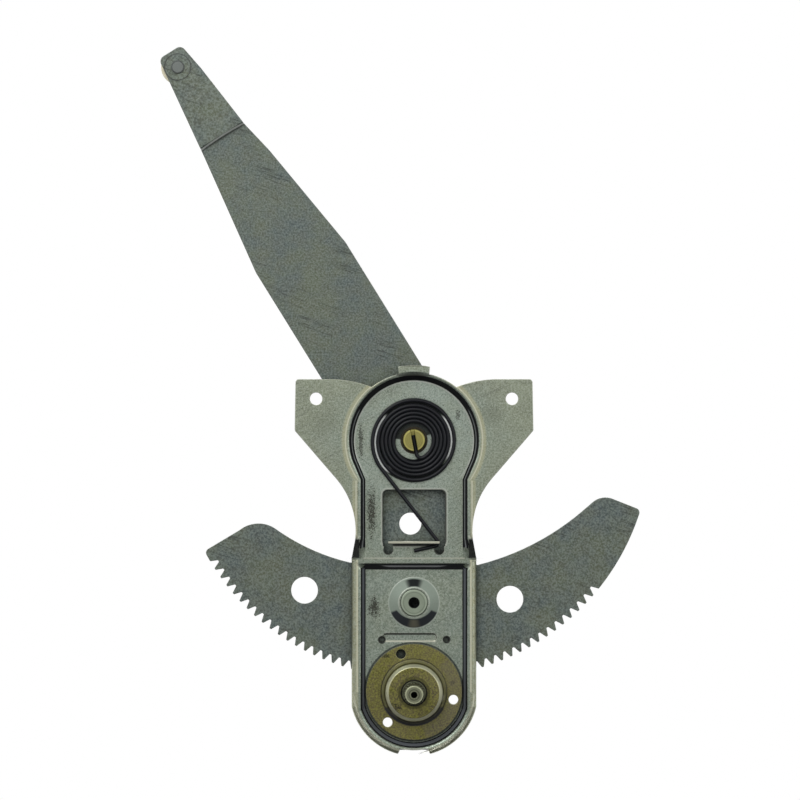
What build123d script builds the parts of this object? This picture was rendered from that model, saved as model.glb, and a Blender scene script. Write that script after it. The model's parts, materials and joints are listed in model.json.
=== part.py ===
from build123d import *
import math
import os

os.makedirs("parts", exist_ok=True)

# Manual window regulator for a car door: a stamped housing, a toothed sector with its
# lift arm, a crank pinion with a wrap-spring brake, and a counterbalance spring.
#
# The crank axis is the origin. X is across, Z is up, and -Y points to the crank handle.
# A "rise" is a height towards the crank side, measured from the face that the door's
# inner panel clamps against: the front of the brake cover's flange. Millimetres.


def level(rise):
    """Drawing plane at a rise: its x is X and its y is Z, and extruding goes to the crank side."""
    return Plane.XZ.offset(rise)


def side_view(reach):
    """Drawing plane across the part: its x is the rise and its y is Z, and it extrudes to -X."""
    return Plane(origin=(reach, 0, 0), x_dir=(0, -1, 0), z_dir=(-1, 0, 0))


def polar(centre, radius, angle):
    """Point at a radius and an angle in degrees from a centre, in a drawing plane."""
    turn = math.radians(angle)
    return (centre[0] + radius * math.cos(turn), centre[1] + radius * math.sin(turn))


# ---- Driving dimensions ------------------------------------------------------------

running_fit = 0.05        # radial clearance of a shaft in its bearing
seat_fit = 0.02           # radial clearance of a piece pressed into a hole
side_gap = 0.5            # gap between plates that pass each other
end_gap = 0.3             # gap along an axis between pieces that turn past each other
overrun = 3.0             # how far a cutting shape runs past what it cuts
edge_break = 0.4          # chamfer of a machined edge

# Gears
module = 2.085
pressure_angle = 24.0
sector_full_teeth = 146   # teeth that the sector's full circle would hold
pinion_teeth = 11
first_gap_angle = 211.72  # centre of the sector's first tooth gap, at rest
tooth_gaps = 45
sector_tooth_width = 3.05       # at the pitch circle
pinion_backlash = 0.32
pinion_undercut = 0.1     # relief of the pinion's sides below its base circle
flank_points = 5          # points that draw one involute side
pinion_root_fillet = 0.45

# Housing sheet
sheet = 1.8
cover_sheet = 1.6
floor_step = 4.0          # the pivot floor stands this far above the brake floor
pivot_pan_depth = 7.0     # ears above the pivot floor
brake_pan_depth = 5.0     # rim above the brake floor
wall_lean = 3.2           # how far a pan wall leans outwards, seen from the crank side
ring_radius = 39.0        # pivot floor
ring_low_angle = -17.0    # the ring ends and the neck's shoulder starts
neck_half_width = 31.5    # neck and brake floor
neck_top_drop = 25.5      # neck's upper end below the pivot
brake_end_radius = 32.6
brake_end_lean = 4.1
rim_half_width = 40.5
rim_end_radius = 41.6
rim_skirt = 5.2           # how far the rolled rim turns back
rim_roll_radius = 3.0
flange_bend = (87.0, 100.0)     # Z where the flange bends back, low end and high end
floor_bend = (79.5, 83.7)       # the same for the floor
ring_edge = 1.4           # width of the trimmed edge round the top of the pan
wall_foot = 0.55          # share of the wall's thickness that lies outside the floor's edge

# Ears
ear_half_width = 77.4
ear_top_z = 203.3
ear_corner_z = 170.0
ear_hole_spacing = 127.0
ear_hole_z = 190.6
ear_hole_radius = 4.0
ear_corner_radius = 2.2
ear_taper = 0.6           # top corners lean in
ear_waist = (50.5, 138.8)       # end of the ear's slanting edge
ear_inner_x = 57.0        # the ear's level top edge ends
ear_dip = (41.0, 1.2)     # X, and drop below the ear's top, half way to the ring
ear_ring_angle = 52.0     # the dipping edge meets the ring
ring_side_angle = 71.0    # a point of the ring between there and its top
neck_edge = (38.2, 99.2)        # outer edge of the neck where the bend starts
neck_edge_drop = 14.0     # how far that edge runs on below

# Locating tab on top of the housing
top_tab_reach = 48.8
top_tab_half_width = 10.3
top_tab_draft = 0.7       # tab narrower by this at its foot, each side

# Window and spring tab in the pivot floor
window_half_width = 20.2
window_top_z = 131.2
window_bottom_z = 95.6
window_corner = 3.2
relief_x = 16.6
relief_radius = 2.9
relief_z = 92.6
hook_tab_z = 97.2
hook_tab_half_width = 16.7
hook_tab_rise = 5.8       # above the pivot floor
hook_head = 2.2           # depth of the tab's wider head

# Boss, groove and gauge holes in the brake floor
boss_z = 58.1
boss_base_radius = 16.4
boss_flat_radius = 10.1
boss_rise = 5.5
boss_nut_radius = 8.8
boss_nut_height = 6.8
boss_thread_radius = 3.3
groove_ends = (-20.1, 14.6)
groove_z = 35.4
groove_width = 5.2
groove_depth = 0.8
gauge_hole_x = 21.0
gauge_hole_z = 33.9
gauge_hole_radius = 2.0

# Brake cover and its bolt circle
cover_radius = 31.3
crank_bolt_circle = 52.2
crank_bolt_radius = 3.1
crank_bolt_count = 3
crank_bolt_angle = 109.0
cup_base_radius = 20.6
cup_shoulder_radius = 18.9
cup_face_radius = 16.6
cup_rise = 12.0
cup_shoulder_rise = 8.6
cup_mouth_radius = 7.8
cup_edge_radius = 1.2

# Crank shaft
spline_radius = 6.7
spline_teeth = 20
spline_depth = 0.7
spline_groove_half = 0.62       # half width of a groove where it opens
spline_start_rise = 14.5
shaft_tip_rise = 34.5
screw_hole_radius = 2.0
screw_hole_depth = 12.0
journal_radius = 5.0
shaft_chamfer = 1.0
shaft_end = 2.4           # shaft behind its retaining ring
spindle_collar_radius = 9.0
collar_foot = 1.5         # collar behind the drive plate

# Pinion and its sleeve
sleeve_radius = 8.0
pinion_face = 3.6         # how far the teeth reach back from the floor
driven_radius = 12.6
driven_thick = 1.8
drive_radius = 13.2
drive_thick = 2.4
brake_wire_width = 1.7    # across the coil
brake_wire_height = 1.9   # along the shaft
brake_turns = 3.0
lug = (5.0, 2.8)          # driven plate's lug, along and across the rim
finger = (2.6, 4.0)       # drive plate's fingers, across and along the rim
finger_spread = 120.0     # angle between the two fingers
finger_start = 30.0
lug_inset = 1.6           # lug and fingers inside their plates' edges
finger_inset = 1.4
lug_gap = 0.6             # lug and fingers stop short of the other plate
cup_roof_gap = 0.6        # drive plate under the cup's face

# Rear tongue
tongue_half_width = 8.8
tongue_end_radius = 12.5
tongue_gap = 2.6          # behind the sector
tongue_bend_radius = 3.4
notch_half_width = 9.2
notch_flare = 3.2
notch_depth = 4.2
sleeve_bush_radius = 11.0
sleeve_bush_flange = (13.4, 0.9)    # radius and thickness
rear_bush_radius = 7.5
rear_bush_flange = (9.3, 1.0)
clip_groove_depth = 0.8
clip_thick = 1.0
clip_radius = 7.4
clip_mouth = 5.6
clip_gap = 0.05           # ring's play in its groove, each side

# Sector and arm
sector_sheet = 3.0
arm_sheet = 2.8
sector_start_angle = 207.9
sector_end_angle = 342.9
sector_axis_angle = 267.5
sector_hole_radius = 8.7
sector_hole_circle = 120.9
sector_hole_spread = 33.6
centre_hole_radius = 7.15
centre_hole_circle = 54.4
hub_radius = 30.0
hub_sides = (-28.0, 208.0)      # angles where the hub meets the sector's upper edges
sector_corner_radius = 3.0
# Points of the sector's upper edges beside the hub, as (X, Z)
left_valley = (-41.6, 84.0)
left_hollow = (-68.0, 93.1)
left_lobe = ((-91.0, 106.6), (-102.5, 109.4), (-113.7, 105.0))
right_valley = (41.3, 82.4)
right_hollow = (80.6, 97.6)
right_lobe = ((109.3, 117.2), (116.5, 123.4), (123.2, 126.3), (129.3, 125.5))
hub_foot = 84.3           # Z where the hub's straight sides end
hub_foot_half = 37.0

# Lift arm. "Left" and "right" are its edges, seen from the pivot towards the roller.
arm_angle = 121.8
arm_half_width = 30.0
arm_length = 286.9        # pivot to roller
arm_head_length = 54.0    # joggle to roller
arm_tip_length = 10.9     # roller to the arm's end
arm_taper_length = (86.4, 99.9)     # left and right edges start to narrow this far before the joggle
arm_kink = (22.9, 19.4)   # right edge: length before the joggle, and half width there
arm_joggle_half = (18.3, 14.7)
arm_roller_half = (12.8, 9.8)       # beside the roller
arm_roller_back = 8.5     # where those widths are, before the roller
arm_tip_half = (10.4, 6.6)
arm_corner_radius = 4.0
arm_joggle = 4.0
joggle_run = 1.6
rivet_circle = 21.5
rivet_radius = 3.6
rivet_head_radius = 6.0
rivet_head = 0.9

# Pivot pin and its bearing
pin_radius = 7.35
pin_rise = 7.0
pivot_bush_radius = 8.7
thrust_flange_radius = 15.0
pin_washer_radius = 13.0
pin_washer_thick = 2.0
pin_peen_radius = 8.6
pin_peen = 1.2
pin_shank_radius = 6.4
thrust_gap = 0.3          # running gap of the thrust flange
pin_flat = 5.2            # half width across the pin's flats inside the arm and the sector
pin_slot_floor = 0.1      # slot bottom above the pivot floor
rivet_count = 4
rivet_start = 45.0        # first rivet's angle from the arm

# Counterbalance spring
spring_wire = 2.4
wire_flats = 8            # the round wire is drawn with this many sides
spring_gap = 0.1          # between the wire and what it lies in or on
coil_inner_radius = 12.6  # wire centre
coil_outer_radius = 27.8
close_arcs = 9            # half turns wound close
open_arcs = 2             # half turns that open out to the last one
hook_tab_corner_x = 13.2  # centre of the wire's bend round the tab
hook_angle = -79.6
hook_bend = 3.0
hook_length = 3.4         # wire beyond the pin's centre
tab_bend = 2.3
tail_heading = 192.8
tail_length = 14.0

# Roller
stud_head_radius = 4.3
stud_head = 0.8
stud_radius = 5.0
stud_neck_radius = 4.0    # riveted into the arm
stud_offset = 2.7         # to the left of the arm's centre line
stud_washer_radius = 8.7
stud_washer_thick = 1.2
roller_radius = 11.0
roller_width = 7.0
roller_chamfer = 0.8
roller_dish = 1.0
roller_ring = 2.2         # width of the raised rings at the rim and the bore
stud_flange_radius = 8.2
stud_flange_thick = 1.4

# ---- Worked out from the driving dimensions ----------------------------------------

sector_pitch_radius = module * sector_full_teeth / 2
pinion_pitch_radius = module * pinion_teeth / 2
pivot_z = sector_pitch_radius + pinion_pitch_radius
pivot = (0.0, pivot_z)
tooth_angle = 360 / sector_full_teeth
tooth_depth = 1.25 * module     # below the pitch circle
tooth_pitch = math.pi * module
pressure = math.radians(pressure_angle)
sector_tip_radius = sector_pitch_radius + module
sector_root_radius = sector_pitch_radius - tooth_depth
pinion_tip_radius = pinion_pitch_radius + module
pinion_root_radius = pinion_pitch_radius - tooth_depth
pinion_base_radius = pinion_pitch_radius * math.cos(pressure)
pinion_tooth_width = tooth_pitch - sector_tooth_width - pinion_backlash

brake_floor = -cover_sheet
pivot_floor = brake_floor + floor_step
ear_rise = pivot_floor + pivot_pan_depth
rim_rise = brake_floor + brake_pan_depth
floor_back = brake_floor - sheet
sector_front = floor_back - side_gap
sector_back = sector_front - sector_sheet
arm_back = sector_front
arm_front = arm_back + arm_sheet
tongue_front = sector_back - tongue_gap
tongue_back = tongue_front - sheet
wire_radius = spring_wire / 2
spring_rise = pivot_floor + spring_gap + wire_radius
wall_sheet = sheet * math.hypot(1, wall_lean / pivot_pan_depth)   # measured across
arm_joggle_at = arm_length - arm_head_length


# ---- Housing -----------------------------------------------------------------------

def keyhole_outline(grow):
    """Ring and neck of the pivot floor, grown outwards, down to the flange's bend."""
    half = neck_half_width + grow
    ring = ring_radius + grow
    shoulder = polar(pivot, ring, ring_low_angle)
    neck_top = (half, pivot_z - neck_top_drop)
    with BuildLine() as outline:
        Line((half, flange_bend[1]), neck_top)
        Line(neck_top, shoulder)
        ThreePointArc(shoulder, (0, pivot_z + ring), (-shoulder[0], shoulder[1]))
        Line((-shoulder[0], shoulder[1]), (-neck_top[0], neck_top[1]))
        Line((-neck_top[0], neck_top[1]), (-half, flange_bend[1]))
        Line((-half, flange_bend[1]), (half, flange_bend[1]))
    return make_face(outline.edges())


def brake_outline(grow, end_grow):
    """The brake floor, grown outwards, from its rounded end up to the floor's bend."""
    half = neck_half_width + grow
    end = brake_end_radius + end_grow
    corner_z = -math.sqrt(end ** 2 - half ** 2)
    with BuildLine() as outline:
        Line((half, floor_bend[0]), (-half, floor_bend[0]))
        Line((-half, floor_bend[0]), (-half, corner_z))
        ThreePointArc((-half, corner_z), (0, -end), (half, corner_z))
        Line((half, corner_z), (half, floor_bend[0]))
    return make_face(outline.edges())


def cross_section(z, bottom, top, grow, lean):
    """Trapezium across the pan at one Z, from its floor up to past its rim."""
    high = top + overrun
    half = neck_half_width + grow
    high_half = half + lean * (high - bottom) / (top - bottom)
    with BuildSketch(Plane.XY.offset(z)) as section:
        with BuildLine():
            Polyline(
                (-half, -bottom), (half, -bottom), (high_half, -high), (-high_half, -high),
                close=True,
            )
        make_face()
    return section.sketch


def pan(shell):
    """Space inside the pan, or with a shell thickness the pan's outer skin."""
    wall = wall_sheet if shell else 0.0
    foot = wall * wall_foot
    lean = wall_lean + wall - foot
    end_lean = brake_end_lean + wall - foot
    pivot_low = pivot_floor - shell
    brake_low = brake_floor - shell
    pivot_scale = (ear_rise + overrun - pivot_low) / (ear_rise - pivot_low)
    brake_scale = (rim_rise + overrun - brake_low) / (rim_rise - brake_low)
    stations = (
        (flange_bend[1], pivot_low, ear_rise),
        (flange_bend[0], pivot_low, rim_rise),
        (floor_bend[1], pivot_low, rim_rise),
        (floor_bend[0], brake_low, rim_rise),
    )
    with BuildPart() as space:
        with BuildSketch(level(pivot_low)):
            add(keyhole_outline(foot))
        with BuildSketch(level(ear_rise + overrun)):
            add(keyhole_outline(foot + lean * pivot_scale))
        loft(ruled=True)
        for upper, lower in zip(stations, stations[1:]):
            ends = [cross_section(*upper, foot, lean), cross_section(*lower, foot, lean)]
            loft(ends, ruled=True)
        with BuildSketch(level(brake_low)):
            add(brake_outline(foot, foot))
        with BuildSketch(level(rim_rise + overrun)):
            add(brake_outline(foot + lean * brake_scale, foot + end_lean * brake_scale))
        loft(ruled=True)
    return space.part


def flange_outline():
    """Outer edge of the flange: ears, neck and top edge."""
    ring_top = ring_radius + wall_lean + ring_edge
    ring_point = polar(pivot, ring_top, ear_ring_angle)
    foot_z = neck_edge[1] - neck_edge_drop
    bend_corner = (rim_half_width, flange_bend[0])
    low_corner = (ear_half_width, ear_corner_z)
    top_corner = (ear_half_width - ear_taper, ear_top_z)
    inner_corner = (ear_inner_x, ear_top_z)
    slant = (ear_waist[0] - ear_half_width, ear_waist[1] - ear_corner_z)
    with BuildLine() as outline:
        Polyline((0, foot_z), (rim_half_width, foot_z), bend_corner, neck_edge)
        TangentArc(ear_waist, neck_edge, tangent=slant)
        Polyline(ear_waist, low_corner, top_corner, inner_corner)
        ThreePointArc(inner_corner, (ear_dip[0], ear_top_z - ear_dip[1]), ring_point)
        ThreePointArc(ring_point, polar(pivot, ring_top, ring_side_angle), (0, pivot_z + ring_top))
        mirror(about=Plane.YZ)
    return make_face(outline.edges())


def rim_outline(inset=0.0):
    """Outer edge of the lower rim, from the flange's bend round the crank end."""
    half = rim_half_width - inset
    end = rim_end_radius - inset
    corner_z = -math.sqrt(end ** 2 - half ** 2)
    with BuildLine() as outline:
        Line((half, flange_bend[0]), (-half, flange_bend[0]))
        Line((-half, flange_bend[0]), (-half, corner_z))
        ThreePointArc((-half, corner_z), (0, -end), (half, corner_z))
        Line((half, corner_z), (half, flange_bend[0]))
    return make_face(outline.edges())


def rolled_rim(inset, front):
    """Solid under the rolled rim: its front edge is rounded round the outside."""
    back = rim_rise - rim_skirt
    with BuildPart() as roll:
        with BuildSketch(level(back)):
            add(rim_outline(inset))
        extrude(amount=front - back)
        front_edges = roll.faces().sort_by(Axis.Y)[0].edges().sort_by(Axis.Z)
        fillet(front_edges[:-1], rim_roll_radius - inset)
    return roll.part


pan_space = pan(0.0)
pan_skin = pan(sheet)

with BuildPart() as housing:
    # Flange: a bent strip of sheet, seen from the side, cut to its outline
    bend_slope = math.atan2(ear_rise - rim_rise, flange_bend[1] - flange_bend[0])
    bend_shift = sheet * math.tan(bend_slope / 2)
    with BuildSketch(side_view(ear_half_width + overrun)):
        with BuildLine():
            Polyline(
                (rim_rise, floor_bend[0]),
                (rim_rise, flange_bend[0]),
                (ear_rise, flange_bend[1]),
                (ear_rise, ear_top_z + top_tab_reach),
                (ear_rise - sheet, ear_top_z + top_tab_reach),
                (ear_rise - sheet, flange_bend[1] + bend_shift),
                (rim_rise - sheet, flange_bend[0] + bend_shift),
                (rim_rise - sheet, floor_bend[0]),
                close=True,
            )
        make_face()
    extrude(amount=2 * (ear_half_width + overrun))
    with BuildSketch(level(brake_floor)):
        add(flange_outline())
        with BuildLine():
            spread = math.degrees(math.asin(top_tab_half_width / top_tab_reach))
            foot_left = (top_tab_draft - top_tab_half_width, pivot_z + ring_radius)
            foot_right = (top_tab_half_width - top_tab_draft, pivot_z + ring_radius)
            tip_left = polar(pivot, top_tab_reach, 90 + spread)
            tip_right = polar(pivot, top_tab_reach, 90 - spread)
            Line(foot_right, tip_right)
            ThreePointArc(tip_right, (0, pivot_z + top_tab_reach), tip_left)
            Line(tip_left, foot_left)
            Line(foot_left, foot_right)
        make_face()
    extrude(amount=ear_rise - brake_floor + overrun, mode=Mode.INTERSECT)

    # Ear corners
    upright_edges = housing.edges().filter_by(Axis.Y)
    ear_x = ear_half_width - ear_taper
    fillet([e for e in upright_edges if abs(e.center().X) > ear_x - seat_fit], ear_corner_radius)

    # Rolled rim of the lower half
    add(rolled_rim(0.0, rim_rise))
    add(rolled_rim(sheet, rim_rise - sheet), mode=Mode.SUBTRACT)

    # Pan: its skin up to the front of the flange, then the space inside it
    with BuildPart(mode=Mode.PRIVATE) as skin:
        add(pan_skin)
        with BuildSketch(side_view(ear_half_width)):
            with BuildLine():
                Polyline(
                    (floor_back - overrun, -rim_end_radius - overrun),
                    (rim_rise, -rim_end_radius - overrun),
                    (rim_rise, flange_bend[0]),
                    (ear_rise, flange_bend[1]),
                    (ear_rise, ear_top_z + overrun),
                    (floor_back - overrun, ear_top_z + overrun),
                    close=True,
                )
            make_face()
        extrude(amount=2 * ear_half_width, mode=Mode.INTERSECT)
    add(skin.part)
    add(pan_space, mode=Mode.SUBTRACT)

    # Boss: a cone pressed towards the crank side, pierced for its nut
    cone_run = boss_base_radius - boss_flat_radius
    cone_slope = math.atan2(boss_rise, cone_run)
    cone_drop = sheet / math.cos(cone_slope)
    inner_flat = boss_flat_radius - (cone_drop - sheet) * cone_run / boss_rise
    inner_base = boss_base_radius - (cone_drop - sheet) * cone_run / boss_rise
    with Locations(level(brake_floor) * Location((0, boss_z, boss_rise / 2))):
        Cone(boss_base_radius, boss_flat_radius, boss_rise)
    with Locations(level(floor_back) * Location((0, boss_z, boss_rise / 2))):
        Cone(inner_base, inner_flat, boss_rise, mode=Mode.SUBTRACT)

    # Spring tab: cut from the window and bent up, with a wider head that keeps the wire on
    with BuildSketch(Plane.XY.offset(hook_tab_z - sheet / 2)):
        root_half = relief_x - relief_radius
        root_top = pivot_floor + hook_tab_rise - hook_head
        with Locations((0, -(pivot_floor - sheet + root_top) / 2)):
            Rectangle(2 * root_half, root_top - pivot_floor + sheet)
        with Locations((0, -root_top - hook_head / 2)):
            Rectangle(2 * hook_tab_half_width, hook_head)
    extrude(amount=sheet)

    # Window, with a round relief at each side of the tab's root
    tab_top = hook_tab_z + sheet / 2
    slot_middle = (window_half_width + root_half) / 2
    with BuildSketch(level(pivot_floor - sheet)):
        with Locations((0, (window_top_z + tab_top) / 2)):
            RectangleRounded(2 * window_half_width, window_top_z - tab_top, window_corner)
        for side in (-1, 1):
            with Locations((side * relief_x, relief_z)):
                Circle(relief_radius)
            with Locations((side * slot_middle, (window_bottom_z + tab_top) / 2)):
                Rectangle(window_half_width - root_half, tab_top + sheet - window_bottom_z)
            with Locations((side * relief_x, (relief_z + window_bottom_z) / 2)):
                Rectangle(2 * relief_radius, window_bottom_z - relief_z)
    extrude(amount=sheet, mode=Mode.SUBTRACT)

    # Holes: pivot, crank sleeve, boss nut, gauge holes, bolt circle and ears
    cut_from = level(floor_back - overrun)
    cut_depth = ear_rise - floor_back + 2 * overrun
    with BuildSketch(cut_from):
        with Locations(pivot):
            Circle(pivot_bush_radius + seat_fit)
        Circle(sleeve_bush_radius + seat_fit)
        with Locations((0, boss_z)):
            Circle(boss_nut_radius + seat_fit)
        with Locations((-gauge_hole_x, gauge_hole_z), (gauge_hole_x, gauge_hole_z)):
            Circle(gauge_hole_radius)
        with PolarLocations(crank_bolt_circle / 2, crank_bolt_count, start_angle=crank_bolt_angle):
            Circle(crank_bolt_radius)
        with Locations((-ear_hole_spacing / 2, ear_hole_z), (ear_hole_spacing / 2, ear_hole_z)):
            Circle(ear_hole_radius)
    extrude(amount=cut_depth, mode=Mode.SUBTRACT)

    # Groove coined across the brake floor
    with BuildSketch(level(brake_floor)):
        with Locations(((groove_ends[0] + groove_ends[1]) / 2, groove_z)):
            SlotOverall(groove_ends[1] - groove_ends[0], groove_width)
    extrude(amount=-groove_depth, mode=Mode.SUBTRACT)

    # Notch in the crank end, and the tongue that folds back from it behind the pinion
    with BuildSketch(level(floor_back - rim_skirt)):
        notch_top = rim_end_radius - notch_depth
        with BuildLine():
            Polyline(
                (-notch_half_width, -notch_top),
                (-notch_half_width - notch_flare, -rim_end_radius - overrun),
                (notch_half_width + notch_flare, -rim_end_radius - overrun),
                (notch_half_width, -notch_top),
                close=True,
            )
        make_face()
    extrude(amount=cut_depth, mode=Mode.SUBTRACT)
    with BuildSketch(side_view(tongue_half_width)):
        tongue_foot = -notch_top
        tongue_top = tongue_end_radius
        with BuildLine():
            FilletPolyline(
                (rim_rise - sheet, tongue_foot + sheet / 2),
                (tongue_front - sheet / 2, tongue_foot + sheet / 2),
                (tongue_front - sheet / 2, tongue_top),
                radius=tongue_bend_radius,
            )
            offset(amount=sheet / 2, side=Side.BOTH)
        make_face()
    extrude(amount=2 * tongue_half_width, mode=Mode.ADD)
    with BuildSketch(level(tongue_back)):
        with Locations((0, tongue_end_radius)):
            Rectangle(2 * tongue_half_width, 2 * tongue_end_radius)
        Circle(tongue_end_radius, mode=Mode.SUBTRACT)
        with Locations((0, -tongue_end_radius / 2)):
            Rectangle(2 * tongue_half_width, tongue_end_radius, mode=Mode.SUBTRACT)
    extrude(amount=sheet, mode=Mode.SUBTRACT)
    with BuildSketch(level(tongue_back)):
        Circle(rear_bush_radius + seat_fit)
    extrude(amount=sheet, mode=Mode.SUBTRACT)


# ---- Brake cover, boss nut and shaft bushings --------------------------------------

with BuildPart() as brake_cover:
    # Drawn cup on a round flange: half section turned about the crank axis
    cup_wall = cover_sheet
    with BuildSketch(Plane.XY):
        with BuildLine():
            Polyline(
                (cup_mouth_radius, -cup_rise),
                (cup_face_radius, -cup_rise),
                (cup_shoulder_radius, -cup_shoulder_rise),
                (cup_base_radius, 0),
                (cover_radius, 0),
                (cover_radius, cup_wall),
                (cup_base_radius - cup_wall, cup_wall),
                (cup_shoulder_radius - cup_wall, -cup_shoulder_rise + cup_wall / 2),
                (cup_face_radius - cup_wall / 2, -cup_rise + cup_wall),
                (cup_mouth_radius, -cup_rise + cup_wall),
                close=True,
            )
        make_face()
    revolve(axis=Axis.Y)
    circles = brake_cover.edges().filter_by(GeomType.CIRCLE)
    face_edge = circles.filter_by(lambda e: abs(e.radius - cup_face_radius) < seat_fit)
    foot_edge = circles.filter_by(lambda e: abs(e.radius - cup_base_radius) < seat_fit)
    fillet(face_edge + foot_edge, cup_edge_radius)
    with BuildSketch(level(-cover_sheet)):
        with PolarLocations(crank_bolt_circle / 2, crank_bolt_count, start_angle=crank_bolt_angle):
            Circle(crank_bolt_radius)
    extrude(amount=cover_sheet, mode=Mode.SUBTRACT)

with BuildPart() as boss_nut:
    nut_top = brake_floor + boss_rise
    with BuildSketch(level(nut_top - boss_nut_height)):
        with Locations((0, boss_z)):
            Circle(boss_nut_radius)
            Circle(boss_thread_radius, mode=Mode.SUBTRACT)
    extrude(amount=boss_nut_height)
    front_rim = boss_nut.faces().sort_by(Axis.Y)[0].edges()
    chamfer(front_rim, edge_break)

with BuildPart() as sleeve_bushing:
    # Flanged bearing in the brake floor; the pinion's sleeve turns in it
    with BuildSketch(level(floor_back)):
        Circle(sleeve_bush_radius)
    extrude(amount=sheet)
    with BuildSketch(level(brake_floor)):
        Circle(sleeve_bush_flange[0])
    extrude(amount=sleeve_bush_flange[1])
    with BuildSketch(level(floor_back)):
        Circle(sleeve_radius + running_fit)
    extrude(amount=sheet + sleeve_bush_flange[1], mode=Mode.SUBTRACT)

with BuildPart() as rear_bushing:
    with BuildSketch(level(tongue_back)):
        Circle(rear_bush_radius)
        Circle(journal_radius + running_fit, mode=Mode.SUBTRACT)
    extrude(amount=sheet)
    with BuildSketch(level(tongue_front)):
        Circle(rear_bush_flange[0])
        Circle(journal_radius + running_fit, mode=Mode.SUBTRACT)
    extrude(amount=rear_bush_flange[1])


# ---- Crank shaft, pinion and wrap-spring brake -------------------------------------

driven_back = brake_floor + sleeve_bush_flange[1] + end_gap
driven_front = driven_back + driven_thick
drive_front = cup_rise - cover_sheet - cup_roof_gap
drive_back = drive_front - drive_thick
coil_back = driven_front + end_gap
coil_front = drive_back - end_gap
drum_radius = cup_shoulder_radius - cover_sheet
brake_coil_radius = drum_radius - running_fit - brake_wire_width / 2
pinion_front = floor_back - end_gap
pinion_back = pinion_front - pinion_face
hub_back = tongue_front + rear_bush_flange[1] + end_gap
clip_front = tongue_back - end_gap - clip_gap
clip_back = clip_front - clip_thick
shaft_back = clip_back - shaft_end


def involute(angle):
    """Involute function of an angle in radians."""
    return math.tan(angle) - angle


def gap_side(radius):
    """Point at a radius on the side of a pinion tooth gap that opens along +X."""
    unwound = math.acos(min(1.0, pinion_base_radius / radius))
    half_tooth = pinion_tooth_width / pinion_pitch_radius / 2 + involute(pressure) - involute(unwound)
    turn = math.pi / pinion_teeth - half_tooth
    return (radius * math.cos(turn), radius * math.sin(turn))


def pinion_gap():
    """One gap between the pinion's teeth: involute sides that run straight to a rounded root."""
    outside = pinion_tip_radius + pinion_root_fillet
    step = (outside - pinion_base_radius) / (flank_points - 1)
    side = [gap_side(pinion_base_radius + step * i) for i in range(flank_points)]
    root = (pinion_root_radius, gap_side(pinion_root_radius)[1] + pinion_undercut)
    with BuildSketch() as gap:
        with BuildLine():
            Spline(*side)
            Line(side[0], root)
            mirror(about=Plane.XZ)
            Line(root, (root[0], -root[1]))
            ThreePointArc(side[-1], (outside, 0), (side[-1][0], -side[-1][1]))
        make_face()
        fillet(gap.vertices().group_by(Axis.X)[0], pinion_root_fillet)
    return gap.sketch


with BuildPart() as pinion:
    # At rest one of its teeth lies in the sector gap nearest to the line between the axes
    with BuildSketch(level(pinion_back)):
        Circle(pinion_tip_radius)
        rest_turn = 90 + (270 - first_gap_angle) % tooth_angle * sector_full_teeth / pinion_teeth
        with PolarLocations(0, pinion_teeth, start_angle=rest_turn + 180 / pinion_teeth):
            add(pinion_gap(), mode=Mode.SUBTRACT)
    extrude(amount=pinion_face)
    with BuildSketch(level(hub_back)):
        Circle(sleeve_radius)
    extrude(amount=pinion_back - hub_back)
    with BuildSketch(level(pinion_front)):
        Circle(sleeve_radius)
    extrude(amount=driven_front - pinion_front)
    with BuildSketch(level(hub_back)):
        Circle(journal_radius + seat_fit)
    extrude(amount=driven_front - hub_back, mode=Mode.SUBTRACT)

with BuildPart() as driven_plate:
    # Its lug stands between the ends of the brake coil
    with BuildSketch(level(driven_back)):
        Circle(driven_radius)
        Circle(sleeve_radius + seat_fit, mode=Mode.SUBTRACT)
    extrude(amount=driven_thick)
    with BuildSketch(level(driven_front)):
        with Locations((0, lug_inset - driven_radius)):
            Rectangle(*lug)
    extrude(amount=drive_back - driven_front - lug_gap)

with BuildPart() as brake_spring:
    # Flat-sided wire wound against the cup's wall
    coil_height = coil_front - coil_back - brake_wire_height
    pitch = coil_height / brake_turns
    coil_foot = (0, -coil_back - brake_wire_height / 2, 0)
    with BuildLine():
        coil = Helix(pitch, coil_height, brake_coil_radius, center=coil_foot, direction=(0, -1, 0))
    with BuildSketch(Plane(origin=coil @ 0, x_dir=(0, 1, 0), z_dir=coil % 0)):
        Rectangle(brake_wire_height, brake_wire_width)
    sweep(path=coil, is_frenet=True)

with BuildPart() as drive_plate:
    # Pressed on the shaft inside the cup; its fingers take the coil's ends
    with BuildSketch(level(drive_back)):
        Circle(drive_radius)
        Circle(spindle_collar_radius + seat_fit, mode=Mode.SUBTRACT)
    extrude(amount=drive_thick)
    with BuildSketch(level(driven_front + lug_gap)):
        with PolarLocations(
            drive_radius - finger_inset, 2, start_angle=finger_start,
            angular_range=finger_spread, endpoint=True,
        ):
            Rectangle(*finger)
    extrude(amount=drive_back - driven_front - lug_gap)

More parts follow.
